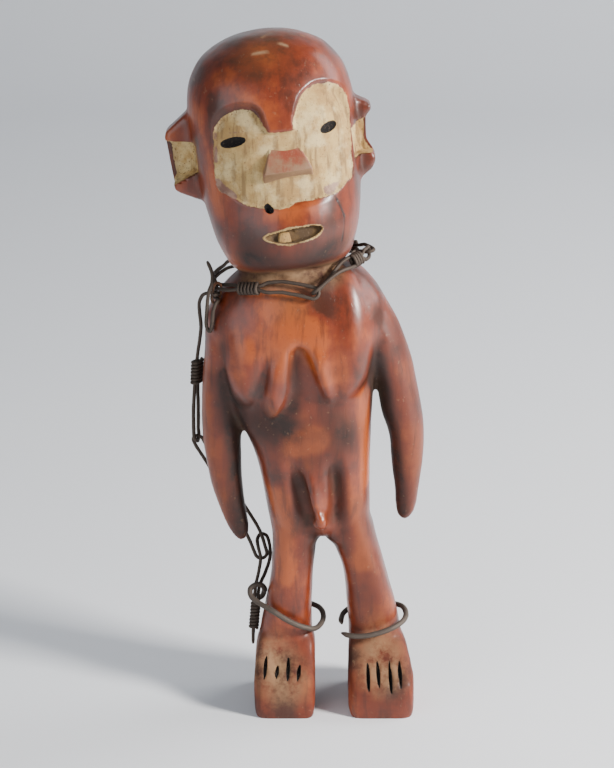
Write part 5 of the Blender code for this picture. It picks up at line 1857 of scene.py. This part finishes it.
@dataclass
class WireWork:
    """Bent and wrapped iron wire."""

    finish: Material
    slot_name: str
    width: float
    sides: int = 3
    spacing: float = 0.7
    beaten: float = 0.00007
    seed: int = 1

    def tube(self, name: str, points: list[Vector], width: float, closed: bool, taper: float = 0.0) -> Object:
        """Makes a round wire along points of the carver's frame.

        Args:
            name: the object's name.
            points: its middle line, in units.
            width: its thickness, in units.
            closed: whether its ends are joined.
            taper: how much thinner its two ends are.

        Returns:
            The wire as a closed mesh.
        """
        curve = bpy.data.curves.new(name, "CURVE")
        curve.dimensions = "3D"
        curve.bevel_depth = width / 2 * UNIT
        curve.bevel_resolution = self.sides
        curve.use_fill_caps = not closed
        line = curve.splines.new("POLY")
        line.points.add(len(points) - 1)
        for point, place in zip(line.points, points):
            point.co = (*(CARVER @ place), 1.0)
        if not closed:
            rounded = max(3, round(width * 1.2 / self.spacing))
            for end in (range(rounded), range(-1, -rounded - 1, -1)):
                for rank, index in enumerate(end):
                    share = (rank + 0.35) / rounded
                    line.points[index].radius = (1.0 - taper * (1 - share)) * math.sqrt(1 - (1 - share) ** 2 * 0.6)
        line.use_cyclic_u = closed
        drawn = bpy.data.objects.new(name, curve)
        bpy.context.scene.collection.objects.link(drawn)
        graph = bpy.context.evaluated_depsgraph_get()
        graph.update()
        mesh = bpy.data.meshes.new_from_object(drawn.evaluated_get(graph))
        bpy.data.objects.remove(drawn, do_unlink=True)
        bm = bmesh.new()
        bm.from_mesh(mesh)
        bmesh.ops.remove_doubles(bm, verts=bm.verts, dist=0.000001)
        bmesh.ops.recalc_face_normals(bm, faces=bm.faces)
        for face in bm.faces:
            face.smooth = len(face.verts) == 4
        return mesh_object(name, bm)

    def even(self, points: list[Vector], closed: bool) -> list[Vector]:
        """Spaces a route's points evenly.

        Args:
            points: the route.
            closed: whether its ends are joined.

        Returns:
            The route with even steps.
        """
        route = points + [points[0]] if closed else points
        reached = [0.0]
        for low, high in zip(route, route[1:]):
            reached.append(reached[-1] + (high - low).length)
        count = max(8, round(reached[-1] / self.spacing))
        spaced = []
        index = 1
        for k in range(count if closed else count + 1):
            distance = reached[-1] * k / count
            while index < len(reached) - 1 and reached[index] < distance:
                index += 1
            span = reached[index] - reached[index - 1]
            spaced.append(route[index - 1].lerp(route[index], (distance - reached[index - 1]) / max(span, 1e-9)))
        return spaced

    def wrap(self, name: str, start: Point, end: Point, across: Point | None, legs: float, wrap_width: float) -> Object:
        """Winds a wire round one or two legs.

        Args:
            name: the object's name.
            start: where the winding starts.
            end: where it ends.
            across: the way the two legs lie apart, or None round one.
            legs: half the distance between the two legs' middles.
            wrap_width: the winding wire's thickness.

        Returns:
            The winding as a closed mesh.
        """
        low, high = Vector(start), Vector(end)
        along = (high - low).normalized()
        way = Vector(across or (1.0, 0.0, 0.0))
        side = (way - along * way.dot(along)).normalized()
        front = along.cross(side)
        reach = self.width / 2 + wrap_width / 2
        spread = legs if across else 0.0
        length = (high - low).length - wrap_width
        turns = max(2.0, length / (wrap_width * 1.03))
        steps = round(turns * 30)
        found = []
        for k in range(steps + 1):
            angle = 2 * math.pi * turns * k / steps
            cos, sin = math.cos(angle), math.sin(angle)
            place = low + along * (wrap_width / 2 + length * k / steps)
            leg = spread * math.tanh(3.0 * cos) / math.tanh(3.0)
            found.append(place + side * (leg + reach * cos) + front * reach * sin)
        return self.tube(name, found, wrap_width, False)

    def beat(self, piece: Object) -> None:
        """Gives a wire the slight dents and swellings of a hand-beaten one.

        Args:
            piece: the wire's mesh.
        """
        surface = Surface(piece)
        wave = smooth_noise(surface.places, 0.0034, self.seed)
        wave += 0.6 * smooth_noise(surface.places, 0.0014, self.seed + 5)
        surface.places += surface.normals * (self.beaten * wave)[:, None]
        surface.write()

    def finished(self, node: str, wires: list[Object]) -> Object:
        """Joins one link's wires, dents them and lets them stand for their CAD node.

        Args:
            node: the CAD node.
            wires: the meshes.

        Returns:
            The piece.
        """
        piece = dressed(joined(node + "_wire", wires), self.finish)
        self.beat(piece)
        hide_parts(node)
        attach(piece, "root")
        log.info("%s: %d vertices", piece.name, len(piece.data.vertices))
        return piece


@dataclass
class Chain:
    """The iron chain from the neck down to the ankle."""

    work: WireWork
    ring_work: WireWork
    wrap_width: float = 1.9
    bend_steps: int = 12

    def link_route(self, line: tuple[Point, ...], across: tuple[Point, Point], widths: Rows) -> list[Vector]:
        """Finds the closed route of a bent wire link: two legs between two round end bends.

        Args:
            line: the middle line from one end bend to the other.
            across: the way the two legs lie apart at the start and at the end.
            widths: half the distance between them, by share of the length.

        Returns:
            The route.
        """
        middle = curved(line, LINE_SHARES)
        reached = [0.0]
        for low, high in zip(middle, middle[1:]):
            reached.append(reached[-1] + (high - low).length)
        length = reached[-1]

        def half(share: float) -> float:
            """Gives half the distance between the legs.

            Args:
                share: the place along the line, as a share of its length.

            Returns:
                Half the distance there.
            """
            for (low, wide), (high, next_wide) in zip(widths, widths[1:]):
                if share <= high:
                    t = (share - low) / (high - low)
                    return wide + (next_wide - wide) * t * t * (3 - 2 * t)
            return widths[-1][1]

        def at(distance: float) -> tuple[Vector, Vector]:
            """Finds a point of the middle line and the step from it to one leg.

            Args:
                distance: how far along the line.

            Returns:
                The point and the step.
            """
            index = next(k for k in range(1, len(reached)) if reached[k] >= distance - 1e-6 or k == len(reached) - 1)
            t = (distance - reached[index - 1]) / (reached[index] - reached[index - 1])
            along = (middle[index] - middle[index - 1]).normalized()
            way = Vector(across[0]).lerp(Vector(across[1]), distance / length)
            side = (way - along * way.dot(along)).normalized()
            wide = half(distance / length)
            end = min(distance, length - distance)
            if end < wide:
                wide = math.sqrt(max(0.0, wide**2 - (wide - end) ** 2))
            return middle[index - 1].lerp(middle[index], t), side * wide

        first, last = half(0.0), half(1.0)
        turn = [1 - math.cos(math.pi / 2 * k / self.bend_steps) for k in range(1, self.bend_steps)]
        distances = [first * share for share in turn]
        distances += [first + (length - first - last) * k / 90 for k in range(91)]
        distances += [length - last * share for share in reversed(turn)]
        stations = [at(distance) for distance in distances]
        start, end = at(0.0)[0], at(length)[0]
        return (
            [start] + [place + side for place, side in stations]
            + [end] + [place - side for place, side in reversed(stations)]
        )

    def across_at(self, line: tuple[Point, ...], across: tuple[Point, Point], wrapped: tuple[Point, Point]) -> Point:
        """Finds the way a link's two legs lie apart in the middle of its winding.

        Args:
            line: the link's middle line.
            across: the way they lie apart at the start and at the end.
            wrapped: the winding's two ends.

        Returns:
            The direction.
        """
        middle = (Vector(wrapped[0]) + Vector(wrapped[1])) / 2
        start, end = Vector(line[0]), Vector(line[-1])
        share = (middle - start).length / ((middle - start).length + (end - middle).length)
        return tuple(Vector(across[0]).lerp(Vector(across[1]), share))

    def build(self) -> None:
        """Builds every link of the chain.

        The table's bent links come first, then the joining ring, the hook and the two long
        links that hang down the side.
        """
        work = self.work
        for node, (line, across, widths, wrapped) in LINKS.items():
            route = work.even(self.link_route(line, across, widths), True)
            wires = [work.tube(node, route, work.width, True)]
            if wrapped:
                way = self.across_at(line, across, wrapped)
                wires.append(work.wrap(node, *wrapped, way, WAIST_HALF, self.wrap_width))
            work.finished(node, wires)
        ring = self.link_route(RING_LINE, RING_ACROSS, ((0.0, RING_HALF), (1.0, RING_HALF)))
        ring_wire = self.ring_work.tube("ring", self.ring_work.even(ring, True), RING_WIRE, True)
        self.ring_work.finished("joining_ring", [ring_wire])
        hook, shoulder, ankle = [
            work.even(curved(route, LINE_SHARES), False) for route in (HOOK_ROUTE, SHOULDER_ROUTE, ANKLE_ROUTE)
        ]
        work.finished("hook_link", [work.tube("hook", hook, work.width, False, 0.3)])
        work.finished("shoulder_link", [
            work.tube("shoulder", shoulder, work.width, False),
            work.wrap("shoulder", *SHOULDER_COIL, SHOULDER_ACROSS, WAIST_HALF, self.wrap_width),
        ])
        work.finished("ankle_link", [
            work.tube("ankle", ankle, work.width, False, 0.2),
            work.wrap("ankle", *ANKLE_COIL, None, 0.0, self.wrap_width),
        ])


@dataclass
class Anklets:
    """The open iron ring round each ankle."""

    work: WireWork
    taper: float = 0.5

    def build(self) -> None:
        """Builds both rings."""
        for node, route in (("anklet_right", ANKLET_RIGHT_ROUTE), ("anklet_left", ANKLET_LEFT_ROUTE)):
            line = self.work.even(curved(route, LINE_SHARES), False)
            self.work.finished(node, [self.work.tube(node, line, self.work.width, False, self.taper)])


@dataclass(frozen=True)
class Lamp:
    """One soft square lamp: where it hangs, what it points at, its side, its watts and its colour."""

    name: str
    place: Point
    aim: Point
    size: float
    power: float
    colour: Point


LAMPS = (
    Lamp("key", (1.02, -0.52, 0.70), (0.0, 0.0, 0.17), 0.24, 37.0, (1.0, 0.975, 0.94)),
    Lamp("fill", (-0.90, -1.00, 0.60), (0.0, 0.0, 0.22), 1.2, 10.5, (0.90, 0.95, 1.0)),
    Lamp("wall", (1.5, 0.7, 1.1), (0.5, 1.5, 0.1), 1.3, 32.0, (0.97, 0.98, 1.0)),
)


@dataclass
class Studio:
    """The floor, its sweep, the lights and the camera."""

    floor_colour: Point = (0.85, 0.86, 0.885)
    elevation: float = 18.0
    distance: float = 1.30
    lens: float = 114.1
    target: Point = (0.0053065, 0.0002154, 0.1842)
    floor_half: float = 1.6
    floor_stretch: float = 3.0
    sweep: float = 0.9
    sweep_steps: int = 16
    air_colour: Point = (0.82, 0.90, 1.0)
    air_strength: float = 0.25

    def floor(self) -> None:
        """Lays the pale floor, which rises behind in one soft sweep.

        The back edge is drawn out in steps along a quarter circle, and then straight up.
        """
        bm = bmesh.new()
        bmesh.ops.create_grid(bm, x_segments=1, y_segments=1, size=self.floor_half)
        for vert in bm.verts:
            vert.co.x *= self.floor_stretch
            vert.co.y *= self.floor_stretch if vert.co.y < 0.0 else 1.0
        back = [edge for edge in bm.edges if all(vert.co.y > self.floor_half * 0.9 for vert in edge.verts)]
        for step in range(1, self.sweep_steps + 1):
            drawn = bmesh.ops.extrude_edge_only(bm, edges=back)
            moved = [item for item in drawn["geom"] if isinstance(item, bmesh.types.BMVert)]
            back = [item for item in drawn["geom"] if isinstance(item, bmesh.types.BMEdge)]
            low, high = [math.pi / 2 * k / self.sweep_steps for k in (step - 1, step)]
            ahead = self.sweep * (math.sin(high) - math.sin(low))
            up = self.sweep * (math.cos(low) - math.cos(high))
            bmesh.ops.translate(bm, vec=(0.0, ahead, up), verts=moved)
        drawn = bmesh.ops.extrude_edge_only(bm, edges=back)
        moved = [item for item in drawn["geom"] if isinstance(item, bmesh.types.BMVert)]
        bmesh.ops.translate(bm, vec=(0.0, 0.0, self.floor_half), verts=moved)
        bmesh.ops.remove_doubles(bm, verts=bm.verts, dist=0.0001)
        bmesh.ops.recalc_face_normals(bm, faces=bm.faces)
        for face in bm.faces:
            face.smooth = True
        floor = mesh_object("floor", bm)
        hand, shader, place = new_material("paper_sweep", self.floor_colour)
        speckle = hand.noise(place, 3.0, 2.0)
        tint = hand.blend(speckle, self.floor_colour, tuple(value * 0.97 for value in self.floor_colour))
        hand.link(tint, shader.inputs["Base Color"])
        shader.inputs["Roughness"].default_value = 0.9
        shader.inputs["Specular IOR Level"].default_value = 0.1
        dressed(floor, bpy.data.materials["paper_sweep"])

    def hang(self, lamp: Lamp) -> None:
        """Hangs one lamp.

        Args:
            lamp: what it is.
        """
        light = bpy.data.lights.new(lamp.name, "AREA")
        light.shape = "SQUARE"
        light.size = lamp.size
        light.energy = lamp.power
        light.color = lamp.colour
        obj = bpy.data.objects.new(lamp.name, light)
        bpy.context.scene.collection.objects.link(obj)
        obj.location = lamp.place
        obj.rotation_euler = (Vector(lamp.aim) - Vector(lamp.place)).to_track_quat("-Z", "Y").to_euler()

    def camera(self) -> None:
        """Sets up the camera at the photograph's angle.

        It looks at the target from the front, raised by the elevation.
        """
        lens = bpy.data.cameras.new("camera")
        lens.lens = self.lens
        lens.clip_start = 0.01
        camera = bpy.data.objects.new("camera", lens)
        bpy.context.scene.collection.objects.link(camera)
        tilt = math.radians(self.elevation)
        aim = Vector(self.target)
        camera.location = aim + self.distance * Vector((0.0, -math.cos(tilt), math.sin(tilt)))
        camera.rotation_euler = (aim - camera.location).to_track_quat("-Z", "Y").to_euler()
        bpy.context.scene.camera = camera

    def build(self) -> None:
        """Sets up the whole studio: the floor, the lamps, the light of the air and the camera."""
        self.floor()
        for lamp in LAMPS:
            self.hang(lamp)
        world = bpy.data.worlds.new("studio_air")
        world.use_nodes = True
        air = world.node_tree.nodes["Background"]
        air.inputs["Color"].default_value = (*self.air_colour, 1.0)
        air.inputs["Strength"].default_value = self.air_strength
        bpy.context.scene.world = world
        self.camera()


def main() -> None:
    """Builds the figure, its iron and the studio."""
    grain, wear, dust = grain_group(), wear_group(), dust_group()
    shared = Shared(grain, wear, dust, clay_group(grain, wear, dust))
    carving = Carving(
        wood=WoodFinish().material(shared),
        kaolin=KaolinFinish().material(shared),
        nose_red=PlainWoodFinish("nose_red", (0.215, 0.036, 0.012), (0.22, 0.12, 0.062), 0.5, 0.56).material(shared),
        nose_tan=PlainWoodFinish("nose_tan", (0.27, 0.155, 0.070), (0.19, 0.10, 0.045), 0.75).material(shared),
        hollow=PlainWoodFinish("mouth_hollow", (0.14, 0.078, 0.024), (0.07, 0.038, 0.015), 0.85).material(shared),
        # The slot lining is near-black: painted shade in the toe slots, eye slits and insect hole
        dark=PlainWoodFinish("slot_dark", (0.0035, 0.002, 0.0015), (0.030, 0.015, 0.009), 1.0, 0.72).material(shared),
    )
    carving.build(Mould())
    chain_iron = IronFinish("chain_iron").material(shared)
    ring_iron = IronFinish("ring_iron", rusty=0.64).material(shared)
    anklet_iron = IronFinish("anklet_iron", bare=(0.21, 0.18, 0.155), rusty=0.42).material(shared)
    Chain(WireWork(chain_iron, "chain_iron", WIRE), WireWork(ring_iron, "chain_iron", RING_WIRE, seed=3)).build()
    Anklets(WireWork(anklet_iron, "anklet_iron", ANKLET_ROD, sides=5, seed=9)).build()
    Studio().build()
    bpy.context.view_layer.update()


if __name__ == "__main__":
    main()
